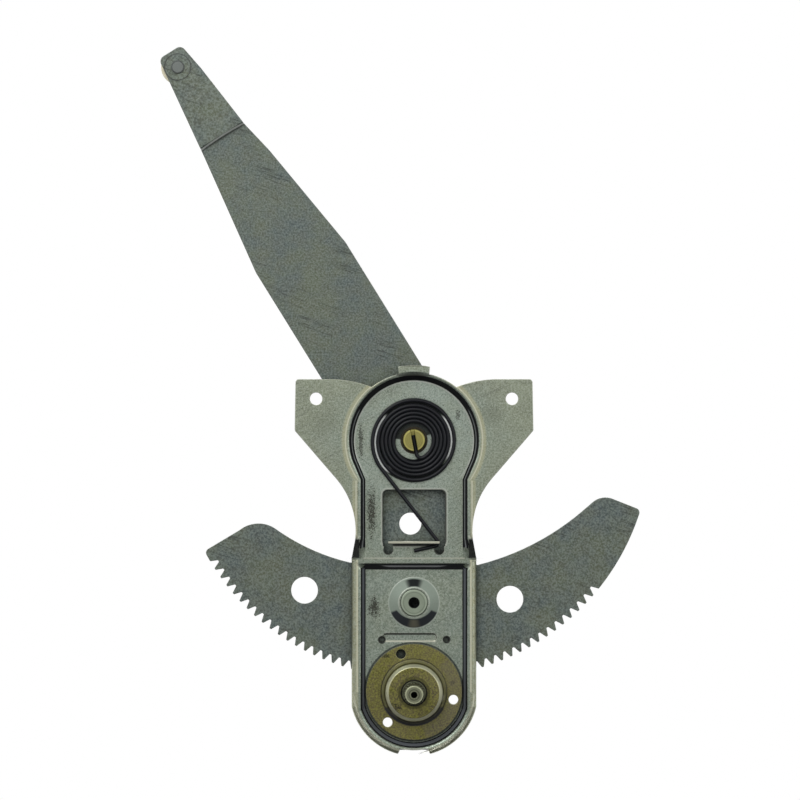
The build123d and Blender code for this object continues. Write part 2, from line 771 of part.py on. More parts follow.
with BuildPart() as crank_shaft:
    with BuildSketch(level(shaft_back)):
        Circle(journal_radius)
    extrude(amount=drive_front - shaft_back)
    with BuildSketch(level(drive_back - collar_foot)):
        Circle(spindle_collar_radius)
    extrude(amount=drive_thick + collar_foot)
    with BuildSketch(level(drive_front)):
        Circle(spline_radius)
    extrude(amount=shaft_tip_rise - drive_front)
    tip = crank_shaft.faces().sort_by(Axis.Y)[0]
    chamfer(tip.edges(), shaft_chamfer)
    with BuildSketch(level(spline_start_rise)):
        with PolarLocations(spline_radius, spline_teeth):
            Polygon(
                (-spline_depth, 0), (seat_fit, -spline_groove_half), (seat_fit, spline_groove_half),
                align=None,
            )
    extrude(amount=shaft_tip_rise - spline_start_rise, mode=Mode.SUBTRACT)
    with BuildSketch(level(shaft_tip_rise)):
        Circle(screw_hole_radius)
    extrude(amount=-screw_hole_depth, mode=Mode.SUBTRACT)
    # Groove for the retaining ring behind the tongue
    with BuildSketch(level(clip_back - clip_gap)):
        Circle(journal_radius)
        Circle(journal_radius - clip_groove_depth, mode=Mode.SUBTRACT)
    extrude(amount=clip_thick + 2 * clip_gap, mode=Mode.SUBTRACT)

with BuildPart() as retaining_ring:
    with BuildSketch(level(clip_back)):
        Circle(clip_radius)
        Circle(journal_radius - clip_groove_depth + seat_fit, mode=Mode.SUBTRACT)
        with Locations((0, clip_radius)):
            Rectangle(clip_mouth, clip_radius, mode=Mode.SUBTRACT)
    extrude(amount=clip_thick)


# ---- Sector, lift arm and pivot ----------------------------------------------------

def pin_hole_outline():
    """Hole with two flats that keys the sector and the arm to the pivot pin."""
    with BuildSketch() as hole:
        with Locations(pivot):
            Circle(pin_shank_radius + seat_fit)
            Rectangle(2 * (pin_flat + seat_fit), 3 * pin_shank_radius, mode=Mode.INTERSECT)
    return hole.sketch


def rivet_circles(radius):
    """The circle of rivets that joins the arm to the sector."""
    with BuildSketch() as circles:
        with Locations(pivot):
            with PolarLocations(rivet_circle, rivet_count, start_angle=arm_angle + rivet_start):
                Circle(radius)
    return circles.sketch


def sector_gap():
    """One gap between the sector's teeth, opening along +X from the pivot."""
    half = (tooth_pitch - sector_tooth_width) / 2
    lean = math.tan(pressure)
    outside = sector_tip_radius + overrun
    root_half = half - tooth_depth * lean
    outside_half = half + (outside - sector_pitch_radius) * lean
    with BuildSketch() as gap:
        with BuildLine():
            Polyline(
                (sector_root_radius, root_half), (sector_root_radius, -root_half),
                (outside, -outside_half), (outside, outside_half),
                close=True,
            )
        make_face()
    return gap.sketch


def sector_outline():
    """Plate outline: toothed rim, rounded corners, hollow upper edges and the hub."""
    start = polar(pivot, sector_tip_radius, sector_start_angle)
    end = polar(pivot, sector_tip_radius, sector_end_angle)
    hub_right, hub_left = (polar(pivot, hub_radius, angle) for angle in hub_sides)
    with BuildSketch() as plate:
        with BuildLine():
            ThreePointArc(start, polar(pivot, sector_tip_radius, 270), end)
            Line(end, right_lobe[3])
            ThreePointArc(right_lobe[3], right_lobe[2], right_lobe[1])
            Line(right_lobe[1], right_lobe[0])
            ThreePointArc(right_lobe[0], right_hollow, right_valley)
            Polyline(right_valley, (hub_foot_half, hub_foot), hub_right)
            ThreePointArc(hub_right, (0, pivot_z + hub_radius), hub_left)
            Polyline(hub_left, (-hub_foot_half, hub_foot), left_valley)
            ThreePointArc(left_valley, left_hollow, left_lobe[0])
            ThreePointArc(*left_lobe)
            Line(left_lobe[2], start)
        make_face()
        for corner in (start, end):
            fillet(plate.vertices().sort_by_distance(Vector(*corner))[0], sector_corner_radius)
    return plate.sketch


with BuildPart() as sector_gear:
    with BuildSketch(level(sector_back)):
        add(sector_outline())
        with Locations(pivot):
            with PolarLocations(
                0, tooth_gaps, start_angle=first_gap_angle,
                angular_range=(tooth_gaps - 1) * tooth_angle, endpoint=True,
            ):
                add(sector_gap(), mode=Mode.SUBTRACT)
        for spread in (-sector_hole_spread, sector_hole_spread):
            with Locations(polar(pivot, sector_hole_circle, sector_axis_angle + spread)):
                Circle(sector_hole_radius, mode=Mode.SUBTRACT)
        with Locations(polar(pivot, centre_hole_circle, sector_axis_angle)):
            Circle(centre_hole_radius, mode=Mode.SUBTRACT)
        add(pin_hole_outline(), mode=Mode.SUBTRACT)
        add(rivet_circles(rivet_radius + seat_fit), mode=Mode.SUBTRACT)
    extrude(amount=sector_sheet)


def arm_point(along, across):
    """Point of the arm: along it from the pivot, and across it to the left."""
    turn = math.radians(arm_angle)
    x = along * math.cos(turn) - across * math.sin(turn)
    z = along * math.sin(turn) + across * math.cos(turn)
    return (x, pivot_z + z)


with BuildPart() as lift_arm:
    # A tapering blade with rounded corners
    tip_end = arm_length + arm_tip_length
    roller_side = arm_length - arm_roller_back
    with BuildSketch(level(arm_back)):
        with BuildLine():
            left = [
                (0, arm_half_width),
                (arm_joggle_at - arm_taper_length[0], arm_half_width),
                (arm_joggle_at, arm_joggle_half[0]),
                (roller_side, arm_roller_half[0]),
                (tip_end, arm_tip_half[0]),
            ]
            right = [
                (tip_end, -arm_tip_half[1]),
                (roller_side, -arm_roller_half[1]),
                (arm_joggle_at, -arm_joggle_half[1]),
                (arm_joggle_at - arm_kink[0], -arm_kink[1]),
                (arm_joggle_at - arm_taper_length[1], -arm_half_width),
                (0, -arm_half_width),
            ]
            FilletPolyline(*[arm_point(*p) for p in left + right], radius=arm_corner_radius)
            ThreePointArc(arm_point(*right[-1]), arm_point(-arm_half_width, 0), arm_point(*left[0]))
        make_face()
        add(pin_hole_outline(), mode=Mode.SUBTRACT)
        add(rivet_circles(rivet_radius + seat_fit), mode=Mode.SUBTRACT)
        with Locations(arm_point(arm_length, stud_offset)):
            Circle(stud_neck_radius + seat_fit, mode=Mode.SUBTRACT)
    extrude(amount=arm_sheet + arm_joggle)

    # Its side view: sheet that steps towards the crank side at the joggle
    side_start = arm_point(0, arm_half_width + overrun)
    along = arm_point(1, 0)
    rightwards = arm_point(0, -1)
    arm_side = Plane(
        origin=(side_start[0], -arm_back, side_start[1]),
        x_dir=(along[0], 0, along[1] - pivot_z),
        z_dir=(rightwards[0], 0, rightwards[1] - pivot_z),
    )
    joggle_slope = math.atan2(arm_joggle, joggle_run)
    joggle_shift = arm_sheet * math.tan(joggle_slope / 2)
    with BuildSketch(arm_side):
        with BuildLine():
            front = [
                (-2 * arm_half_width, arm_sheet),
                (arm_joggle_at, arm_sheet),
                (arm_joggle_at + joggle_run, arm_joggle + arm_sheet),
                (tip_end + arm_half_width, arm_joggle + arm_sheet),
            ]
            back = [(x + joggle_shift, y - arm_sheet) for x, y in reversed(front)]
            Polyline(*front, *back, close=True)
        make_face()
    extrude(amount=2 * (arm_half_width + overrun), mode=Mode.INTERSECT)


with BuildPart() as arm_rivets:
    for back, height, radius in (
        (sector_back - rivet_head, rivet_head, rivet_head_radius),
        (sector_back, sector_sheet + arm_sheet, rivet_radius),
        (arm_front, rivet_head, rivet_head_radius),
    ):
        with BuildSketch(level(back)):
            add(rivet_circles(radius))
        extrude(amount=height)

with BuildPart() as pivot_bushing:
    # Bearing of the pivot pin, with a thrust flange between the floor and the arm
    with BuildSketch(level(pivot_floor - sheet)):
        with Locations(pivot):
            Circle(pivot_bush_radius)
    extrude(amount=sheet)
    with BuildSketch(level(arm_front + thrust_gap)):
        with Locations(pivot):
            Circle(thrust_flange_radius)
    extrude(amount=pivot_floor - sheet - arm_front - thrust_gap)
    with BuildSketch(level(arm_front)):
        with Locations(pivot):
            Circle(pin_radius + running_fit)
    extrude(amount=pivot_floor - arm_front, mode=Mode.SUBTRACT)

with BuildPart() as pivot_pin:
    with BuildSketch(level(arm_front)):
        with Locations(pivot):
            Circle(pin_radius)
    extrude(amount=pin_rise - arm_front)
    face_edge = pivot_pin.faces().sort_by(Axis.Y)[0].edges()
    chamfer(face_edge, edge_break)
    with BuildSketch(level(sector_back - pin_washer_thick)):
        with Locations(pivot):
            Circle(pin_shank_radius)
            Rectangle(2 * pin_flat, 3 * pin_shank_radius, mode=Mode.INTERSECT)
    extrude(amount=arm_front - sector_back + pin_washer_thick)
    with BuildSketch(level(sector_back - pin_washer_thick - pin_peen)):
        with Locations(pivot):
            Circle(pin_peen_radius)
    extrude(amount=pin_peen)
    # Slot that drives the spring's inner end
    with BuildSketch(level(pivot_floor + pin_slot_floor)):
        with Locations(Location(pivot, hook_angle)):
            Rectangle(3 * pin_radius, spring_wire + 2 * spring_gap)
    extrude(amount=pin_rise, mode=Mode.SUBTRACT)

with BuildPart() as pin_washer:
    with BuildSketch(level(sector_back - pin_washer_thick)):
        with Locations(pivot):
            Circle(pin_washer_radius)
        add(pin_hole_outline(), mode=Mode.SUBTRACT)
    extrude(amount=pin_washer_thick)


# ---- Counterbalance spring ---------------------------------------------------------

def spring_route():
    """Centre line of the wire: hook in the pin's slot, coil, leg, bend round the tab, tail."""
    lean = math.degrees(math.asin(hook_bend / (coil_inner_radius - hook_bend)))
    coil_start = hook_angle + lean
    tab_corner = (hook_tab_corner_x, hook_tab_z)
    reach = math.dist(pivot, tab_corner)
    bearing = math.degrees(math.atan2(tab_corner[1] - pivot_z, tab_corner[0]))
    leg_heading = bearing + math.degrees(math.asin((coil_outer_radius + tab_bend) / reach))
    arcs = close_arcs + open_arcs
    last_arc = (leg_heading - 90 - coil_start) % 180
    close_growth = (spring_wire + spring_gap) / 2
    open_room = coil_outer_radius - coil_inner_radius - close_growth * (close_arcs - 1)
    open_growth = open_room / (open_arcs + 1)
    bend_turn = coil_start + 90 - hook_angle
    straight = (coil_inner_radius - hook_bend) * math.cos(math.radians(lean))
    with BuildLine() as route:
        hook_start = polar(pivot, -hook_length, hook_angle)
        Line(hook_start, polar(pivot, straight, hook_angle))
        JernArc(route.line @ 1, route.line % 1, hook_bend, bend_turn)
        radius = coil_inner_radius
        for arc in range(arcs):
            JernArc(route.line @ 1, route.line % 1, radius, 180)
            radius += close_growth if arc < close_arcs - 1 else open_growth
        JernArc(route.line @ 1, route.line % 1, radius, last_arc)
        leg_end = polar(tab_corner, tab_bend, leg_heading + 90)
        Line(route.line @ 1, leg_end)
        JernArc(route.line @ 1, route.line % 1, tab_bend, tail_heading - leg_heading - 360)
        PolarLine(route.line @ 1, tail_length, direction=route.line % 1)
    return route.line


with BuildPart() as counterbalance_spring:
    route = level(spring_rise) * spring_route()
    with BuildSketch(Plane(origin=route @ 0, x_dir=(0, -1, 0), z_dir=route % 0)):
        RegularPolygon(wire_radius, wire_flats, major_radius=False, rotation=180 / wire_flats)
    sweep(path=route)


# ---- Roller ------------------------------------------------------------------------

stud_at = arm_point(arm_length, stud_offset)
tip_back = arm_back + arm_joggle
tip_front = tip_back + arm_sheet
roller_front = tip_back - stud_washer_thick - end_gap
roller_back = roller_front - roller_width
flange_front = roller_back - end_gap

with BuildPart() as roller_washer:
    with BuildSketch(level(tip_back - stud_washer_thick)):
        with Locations(stud_at):
            Circle(stud_washer_radius)
            Circle(stud_radius + seat_fit, mode=Mode.SUBTRACT)
    extrude(amount=stud_washer_thick)

with BuildPart() as roller_stud:
    for back, height, radius in (
        (flange_front - stud_flange_thick, stud_flange_thick, stud_flange_radius),
        (flange_front, tip_back - flange_front, stud_radius),
        (tip_back, arm_sheet, stud_neck_radius),
        (tip_front, stud_head, stud_head_radius),
    ):
        with BuildSketch(level(back)):
            with Locations(stud_at):
                Circle(radius)
        extrude(amount=height)

with BuildPart() as roller:
    with BuildSketch(level(roller_back)):
        with Locations(stud_at):
            Circle(roller_radius)
            Circle(stud_radius + running_fit, mode=Mode.SUBTRACT)
    extrude(amount=roller_width)
    rims = roller.edges().filter_by(GeomType.CIRCLE)
    chamfer(rims.filter_by(lambda e: abs(e.radius - roller_radius) < seat_fit), roller_chamfer)
    for face, way in ((roller_front, -1), (roller_back, 1)):
        with BuildSketch(level(face)):
            with Locations(stud_at):
                Circle(roller_radius - roller_ring)
                Circle(stud_radius + roller_ring, mode=Mode.SUBTRACT)
        extrude(amount=way * roller_dish, mode=Mode.SUBTRACT)


# ---- Files -------------------------------------------------------------------------

pieces = {
    "housing": housing,
    "brake_cover": brake_cover,
    "boss_nut": boss_nut,
    "sleeve_bushing": sleeve_bushing,
    "rear_bushing": rear_bushing,
    "pivot_bushing": pivot_bushing,
    "counterbalance_spring": counterbalance_spring,
    "crank_shaft": crank_shaft,
    "drive_plate": drive_plate,
    "brake_spring": brake_spring,
    "driven_plate": driven_plate,
    "pinion": pinion,
    "retaining_ring": retaining_ring,
    "sector_gear": sector_gear,
    "lift_arm": lift_arm,
    "arm_rivets": arm_rivets,
    "pivot_pin": pivot_pin,
    "pin_washer": pin_washer,
    "roller_stud": roller_stud,
    "roller_washer": roller_washer,
    "roller": roller,
}
for name, piece in pieces.items():
    piece.part.label = name
    export_step(piece.part, f"parts/{name}.step")
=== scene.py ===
# %% [markdown]
# # Dressing a hand-cranked window regulator
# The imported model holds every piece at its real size: a stamped housing, a brake cover,
# a toothed sector with a long lift arm, and a black coil spring. This lesson gives the
# pieces their finishes and softens their sheared edges, and never moves what is packed.
# %% Load the frame
import json
import math

import bpy
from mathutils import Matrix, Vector
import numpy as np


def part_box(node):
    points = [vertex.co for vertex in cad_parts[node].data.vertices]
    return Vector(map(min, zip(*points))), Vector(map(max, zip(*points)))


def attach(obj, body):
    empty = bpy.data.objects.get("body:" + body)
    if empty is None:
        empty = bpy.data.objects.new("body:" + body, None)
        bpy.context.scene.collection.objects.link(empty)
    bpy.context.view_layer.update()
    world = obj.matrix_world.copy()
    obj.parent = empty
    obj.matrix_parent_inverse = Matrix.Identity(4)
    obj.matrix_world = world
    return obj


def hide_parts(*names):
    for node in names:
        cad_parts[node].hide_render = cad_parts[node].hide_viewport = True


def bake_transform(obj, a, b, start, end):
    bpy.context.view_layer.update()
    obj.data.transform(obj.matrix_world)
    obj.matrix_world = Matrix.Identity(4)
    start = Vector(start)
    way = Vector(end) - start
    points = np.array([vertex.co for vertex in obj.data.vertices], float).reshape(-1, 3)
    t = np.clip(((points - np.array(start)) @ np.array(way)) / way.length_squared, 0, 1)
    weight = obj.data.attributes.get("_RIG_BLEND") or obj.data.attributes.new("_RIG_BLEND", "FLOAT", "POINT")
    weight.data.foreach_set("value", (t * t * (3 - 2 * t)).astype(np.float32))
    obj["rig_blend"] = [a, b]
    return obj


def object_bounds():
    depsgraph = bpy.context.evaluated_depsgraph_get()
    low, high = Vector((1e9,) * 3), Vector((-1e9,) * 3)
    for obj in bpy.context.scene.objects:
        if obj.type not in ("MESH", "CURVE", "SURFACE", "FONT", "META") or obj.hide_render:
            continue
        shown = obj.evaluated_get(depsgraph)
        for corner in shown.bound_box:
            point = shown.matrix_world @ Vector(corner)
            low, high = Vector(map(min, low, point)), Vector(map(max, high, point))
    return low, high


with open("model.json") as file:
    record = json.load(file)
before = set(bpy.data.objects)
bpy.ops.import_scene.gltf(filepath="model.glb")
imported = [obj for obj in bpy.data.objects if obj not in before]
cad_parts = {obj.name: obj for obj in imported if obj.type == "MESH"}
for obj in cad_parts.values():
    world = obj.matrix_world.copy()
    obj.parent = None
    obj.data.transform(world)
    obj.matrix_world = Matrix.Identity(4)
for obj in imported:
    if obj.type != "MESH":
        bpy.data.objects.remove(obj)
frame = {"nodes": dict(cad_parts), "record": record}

bpy.ops.object.select_all(action="DESELECT")
cad_low, cad_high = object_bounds()
mm = 0.001
pin_low, pin_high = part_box("pivot_pin")
pivot = Vector(((pin_low.x + pin_high.x) / 2, 0, (pin_low.z + pin_high.z) / 2))
print("nodes", len(frame["nodes"]), "pivot at", [round(x / mm, 2) for x in pivot])

# %% [markdown]
# ## Camera
# A long lens far away draws the flat stampings almost without perspective, which is how
# a parts catalogue shows them. The width of the view at the crank sets the distance.
# %% Camera
lens = 235.0
sensor_width = 36.0
view_width = 520 * mm
aim = Vector((-9.1 * mm, 0, 189.8 * mm))
distance = view_width * lens / sensor_width
bpy.ops.object.camera_add(location=aim - Vector((0, distance, 0)), rotation=(math.pi / 2, 0, 0))
camera = bpy.context.object
camera.data.lens = lens
camera.data.sensor_width = sensor_width
bpy.context.scene.camera = camera
bpy.context.scene.view_settings.view_transform = "Standard"
print("camera", round(distance, 3), "m away")

# %% [markdown]
# ## Studio
# Bare metal shows what is around it, so the studio matters as much as the paint. The
# world is white to the camera and to reflections, and gentler as a light. A dark apron
# in front and below is seen only in reflections: faces that look down turn black.
# %% World
fill_strength = 0.42


def add_node(tree, kind, settings=(), values=(), links=()):
    """Add a node: settings are properties, values set its inputs and links feed them."""
    made = tree.nodes.new(kind)
    for key, value in dict(settings).items():
        setattr(made, key, value)
    for key, value in dict(values).items():
        made.inputs[key].default_value = value
    for key, source in dict(links).items():
        tree.links.new(source, made.inputs[key])
    return made


world = bpy.data.worlds.new("studio")
bpy.context.scene.world = world
world.use_nodes = True
sky = world.node_tree
path = add_node(sky, "ShaderNodeLightPath").outputs
seen = path["Is Camera Ray"]
for ray in ("Is Glossy Ray", "Is Transmission Ray"):
    seen = add_node(sky, "ShaderNodeMath", {"operation": "MAXIMUM"}, links={0: seen, 1: path[ray]}).outputs[0]
strength = add_node(sky, "ShaderNodeMapRange", values={"To Min": fill_strength, "To Max": 1.0},
                    links={"Value": seen})
backdrop = sky.nodes["Background"]
backdrop.inputs["Color"].default_value = (1, 1, 1, 1)
sky.links.new(strength.outputs[0], backdrop.inputs["Strength"])
print("world fills with", fill_strength)

# %% [markdown]
# Three soft area lamps light the sheet. Two dark cards are hidden from the camera and from
# the lighting, so they show only in reflections and give the metal its contrast. The floor
# is a white card that glows more, further from the object, so that no horizon shows.
# %% Lamps and reflectors
look_at = Vector((0, 0, 170 * mm))


def softbox(name, place, size, watts):
    """A square area lamp that faces the middle of the object."""
    bpy.ops.object.light_add(type="AREA", location=place)
    lamp = bpy.context.object
    lamp.name = name
    lamp.data.size = size
    lamp.data.energy = watts
    lamp.rotation_euler = (look_at - lamp.location).to_track_quat("-Z", "Y").to_euler()
    return lamp


softbox("key", Vector((-0.9, -1.7, 1.5)), 1.3, 26)
softbox("side", Vector((1.4, -1.5, 0.7)), 0.9, 7)
softbox("back", Vector((0.2, 1.9, 1.2)), 1.2, 16)


def stage_card(name, place, size, turn=(0, 0, 0)):
    """A flat card of the studio, not part of the object."""
    bpy.ops.mesh.primitive_plane_add(size=1, location=place, rotation=turn)
    card = bpy.context.object
    card.name = name
    card.scale = (size[0], size[1], 1)
    bpy.ops.object.transform_apply(location=False, rotation=False, scale=True)
    return card


floor_z = cad_low.z - 90 * mm
floor = stage_card("floor", (0, 0, floor_z), (16, 16))
apron = stage_card("dark_apron", (0, -1.28, floor_z + 5 * mm), (4.0, 2.66))
flag = stage_card("dark_flag", (0, -0.17, 0.9), (0.22, 0.16))
for card in (apron, flag):
    for hidden_from in ("visible_camera", "visible_diffuse", "visible_shadow", "visible_transmission"):
        setattr(card, hidden_from, False)
paper = bpy.data.materials.new("floor_paper")
paper.use_nodes = True
paper_tree = paper.node_tree
paper_shader = paper_tree.nodes["Principled BSDF"]
paper_shader.inputs["Base Color"].default_value = (0.86, 0.86, 0.85, 1)
paper_shader.inputs["Roughness"].default_value = 0.9
paper_glow = add_node(paper_tree, "ShaderNodeEmission", values={"Color": (1, 1, 1, 1)})
paper_path = add_node(paper_tree, "ShaderNodeLightPath").outputs
paper_seen = add_node(paper_tree, "ShaderNodeMath", {"operation": "MAXIMUM"},
                      links={0: paper_path["Is Camera Ray"], 1: paper_path["Is Glossy Ray"]})
paper_place = add_node(paper_tree, "ShaderNodeTexCoord").outputs["Object"]
paper_reach = add_node(paper_tree, "ShaderNodeVectorMath", {"operation": "LENGTH"}, links={0: paper_place})
paper_glare = add_node(paper_tree, "ShaderNodeMapRange", {"interpolation_type": "SMOOTHSTEP"},
                       {"From Min": 0.28, "From Max": 0.62, "To Min": 0.62, "To Max": 1.0},
                       {"Value": paper_reach.outputs["Value"]})
paper_share = add_node(paper_tree, "ShaderNodeMath", {"operation": "MULTIPLY"},
                       links={0: paper_seen.outputs[0], 1: paper_glare.outputs[0]})
paper_mix = add_node(paper_tree, "ShaderNodeMixShader", links={
    0: paper_share.outputs[0], 1: paper_shader.outputs[0], 2: paper_glow.outputs[0]})
paper_tree.links.new(paper_mix.outputs[0], paper_tree.nodes["Material Output"].inputs["Surface"])
floor.data.materials.append(paper)
felt = bpy.data.materials.new("black_felt")
felt.use_nodes = True
felt.node_tree.nodes["Principled BSDF"].inputs["Base Color"].default_value = (0.01, 0.01, 0.01, 1)
for card in (apron, flag):
    card.data.materials.append(felt)
print("floor at", round(floor_z / mm, 1), "mm")

# %% [markdown]
# ## Effects that several finishes share
# Rolled sheet, plated zinc and oiled wire need the same few effects: grain and clouds,
# rub marks, dirt specks, worn edges, shaded gaps and lathe rings. Each is a node group
# that puts out a mask, so that a finish only mixes them.
# %% Group helpers
VALUE, VECTOR = "NodeSocketFloat", "NodeSocketVector"


def new_group(name, inputs, outputs):
    """An empty node group with named sockets; inputs give each socket's kind and value."""
    tree = bpy.data.node_groups.new(name, "ShaderNodeTree")
    for label, (kind, value) in inputs.items():
        tree.interface.new_socket(name=label, in_out="INPUT", socket_type=kind).default_value = value
    for label in outputs:
        tree.interface.new_socket(name=label, in_out="OUTPUT", socket_type=VALUE)
    return tree, tree.nodes.new("NodeGroupInput").outputs, tree.nodes.new("NodeGroupOutput").inputs


def maths(tree, operation, first, second=0.0):
    """Add a Math node whose two inputs may each be a number or an output."""
    made = tree.nodes.new("ShaderNodeMath")
    made.operation = operation
    for socket, value in zip(made.inputs, (first, second)):
        if isinstance(value, (int, float)):
            socket.default_value = value
        else:
            tree.links.new(value, socket)
    return made.outputs[0]


def vectors(tree, operation, first, second=(0, 0, 0)):
    """Add a Vector Math node whose inputs may each be three numbers or an output."""
    made = tree.nodes.new("ShaderNodeVectorMath")
    made.operation = operation
    for index, value in enumerate((first, second)):
        if isinstance(value, tuple):
            made.inputs[index].default_value = value
        else:
            tree.links.new(value, made.inputs[index])
    return made.outputs["Value" if operation in ("LENGTH", "DOT_PRODUCT") else "Vector"]


def radius_from(tree, place, centre):
    """The offset of a place from an axis along Y, level with it, and its length."""
    level = vectors(tree, "MULTIPLY", vectors(tree, "SUBTRACT", place, centre), (1, 0, 1))
    return level, vectors(tree, "LENGTH", level)


def fade(tree, value, low, high, start=0.0, end=1.0):
    """Ease a value from start to end while it goes from low to high."""
    made = add_node(tree, "ShaderNodeMapRange", {"interpolation_type": "SMOOTHSTEP"},
                    {"From Min": low, "From Max": high, "To Min": start, "To Max": end}, {"Value": value})
    return made.outputs[0]


# %% [markdown]
# Rolled sheet is never one even tone. Fine noise gives its grain and much broader noise
# its clouds. One group puts out both, because nearly every finish here needs the pair.
# %% Grain and clouds
grain_group, given, gives = new_group(
    "sheet_grain", {"Place": (VECTOR, (0, 0, 0)), "Size": (VALUE, 900.0)}, ("Grain", "Cloud"))
fine = add_node(grain_group, "ShaderNodeTexNoise", values={"Detail": 3.0, "Roughness": 0.6},
                links={"Vector": given["Place"], "Scale": given["Size"]})
broad_size = maths(grain_group, "MULTIPLY", given["Size"], 0.045)
broad = add_node(grain_group, "ShaderNodeTexNoise", values={"Detail": 5.0, "Roughness": 0.62},
                 links={"Vector": given["Place"], "Scale": broad_size})
grain_group.links.new(fade(grain_group, fine.outputs[0], 0.3, 0.7), gives["Grain"])
grain_group.links.new(fade(grain_group, broad.outputs[0], 0.34, 0.66), gives["Cloud"])
print("group", grain_group.name)

# %% [markdown]
# Dies and hands leave long thin marks. Noise is stretched in one direction, and a line is
# drawn only where it crosses its middle value, so the lines wander as real ones do.
# %% Long rub marks
rub_group, given, gives = new_group(
    "rub_marks", {"Place": (VECTOR, (0, 0, 0)), "Size": (VALUE, 160.0), "Turn": (VALUE, 0.0),
                  "Width": (VALUE, 0.012)}, ("Marks",))
turned = add_node(rub_group, "ShaderNodeVectorRotate", {"rotation_type": "Y_AXIS"},
                  links={"Vector": given["Place"], "Angle": given["Turn"]})
drawn = vectors(rub_group, "MULTIPLY", turned.outputs[0], (1.0, 1.0, 0.045))
lines = add_node(rub_group, "ShaderNodeTexNoise", values={"Detail": 4.0, "Roughness": 0.7},
                 links={"Vector": drawn, "Scale": given["Size"]})
away = maths(rub_group, "ABSOLUTE", maths(rub_group, "SUBTRACT", lines.outputs[0], 0.5))
thin = fade(rub_group, maths(rub_group, "DIVIDE", away, given["Width"]), 0.0, 1.0, 1.0, 0.0)
islands = add_node(rub_group, "ShaderNodeTexNoise", values={"Scale": 26.0, "Detail": 2.0},
                   links={"Vector": given["Place"]})
broken = fade(rub_group, islands.outputs[0], 0.5, 0.62)
rub_group.links.new(maths(rub_group, "MULTIPLY", thin, broken), gives["Marks"])
print("group", rub_group.name)

# %% [markdown]
# Dirt gathers in patches. Noise is cut off at a level that falls from the centre of the
# patch to its rim, so the specks thin out by themselves and no border shows.
# %% Dirt in one place
dirt_group, given, gives = new_group(
    "dirt_patch", {"Place": (VECTOR, (0, 0, 0)), "Centre": (VECTOR, (0, 0, 0)),
                   "Reach": (VECTOR, (0.01, 0.01, 0.01)), "Size": (VALUE, 900.0)}, ("Specks",))
offset = vectors(dirt_group, "SUBTRACT", given["Place"], given["Centre"])
reach = vectors(dirt_group, "LENGTH", vectors(dirt_group, "DIVIDE", offset, given["Reach"]))
density = fade(dirt_group, reach, 0.0, 1.0, 0.65, 0.385)
dots = add_node(dirt_group, "ShaderNodeTexNoise", values={"Detail": 3.0, "Roughness": 0.7},
                links={"Vector": given["Place"], "Scale": given["Size"]})
over = maths(dirt_group, "SUBTRACT", density, dots.outputs[0])
dirt_group.links.new(fade(dirt_group, over, 0.0, 0.06), gives["Specks"])
print("group", dirt_group.name)

# %% [markdown]
# Plating wears off at edges first. The Bevel node gives the normal that a rounded edge
# would have, and where that differs from the real normal an edge is near.
# %% Bright worn edges
wear_group, given, gives = new_group("edge_wear", {"Radius": (VALUE, 0.5 * mm)}, ("Edge",))
rounded = add_node(wear_group, "ShaderNodeBevel", {"samples": 6}, links={"Radius": given["Radius"]})
flat = wear_group.nodes.new("ShaderNodeNewGeometry")
alike = vectors(wear_group, "DOT_PRODUCT", rounded.outputs[0], flat.outputs["Normal"])
wear_group.links.new(fade(wear_group, alike, 0.995, 0.93), gives["Edge"])
print("group", wear_group.name)

# %% [markdown]
# Narrow gaps get little light, and this group paints that shade into the colour. Ambient
# occlusion measures how shut in a spot is, and unlike a mark fixed in place it follows
# the pieces when they move.
# %% Shade in narrow gaps
shade_group, given, gives = new_group("gap_shade", {"Reach": (VALUE, 6 * mm)}, ("Shade",))
openness = add_node(shade_group, "ShaderNodeAmbientOcclusion", {"samples": 6},
                    links={"Distance": given["Reach"]})
shade_group.links.new(fade(shade_group, openness.outputs["AO"], 0.15, 0.8, 1.0, 0.0), gives["Shade"])
print("group", shade_group.name)

# %% [markdown]
# A lathe leaves fine rings on an end face. A sine of the distance from the axis draws
# them. The depth along the axis is left out, so the side of a cylinder stays plain.
# %% Tool marks of turned pieces
lathe_group, given, gives = new_group(
    "lathe_rings", {"Place": (VECTOR, (0, 0, 0)), "Centre": (VECTOR, (0, 0, 0)), "Pitch": (VALUE, 0.4 * mm)},
    ("Rings",))
_, radius = radius_from(lathe_group, given["Place"], given["Centre"])
cycles = maths(lathe_group, "DIVIDE", radius, given["Pitch"])
wave = maths(lathe_group, "SINE", maths(lathe_group, "MULTIPLY", cycles, math.tau))
lathe_group.links.new(fade(lathe_group, wave, -1.0, 1.0), gives["Rings"])
print("group", lathe_group.name)

# %% [markdown]
# Pressed sheet also has light and shade in set places, which are painted: painted shade in
# a groove, a painted bright ring, a painted dark wall.
# Two more groups draw them on the front of a piece: a band between two radii, which may
# cover only part of the turn, and a straight bar.
# %% Bands and bars


def front_only(tree, mask):
    """Keep a mask off the faces that look to the back."""
    looks = tree.nodes.new("ShaderNodeTexCoord").outputs["Normal"]
    depth = add_node(tree, "ShaderNodeSeparateXYZ", links={0: looks}).outputs["Y"]
    return maths(tree, "MULTIPLY", mask, fade(tree, depth, 0.2, 0.6, 1.0, 0.0))


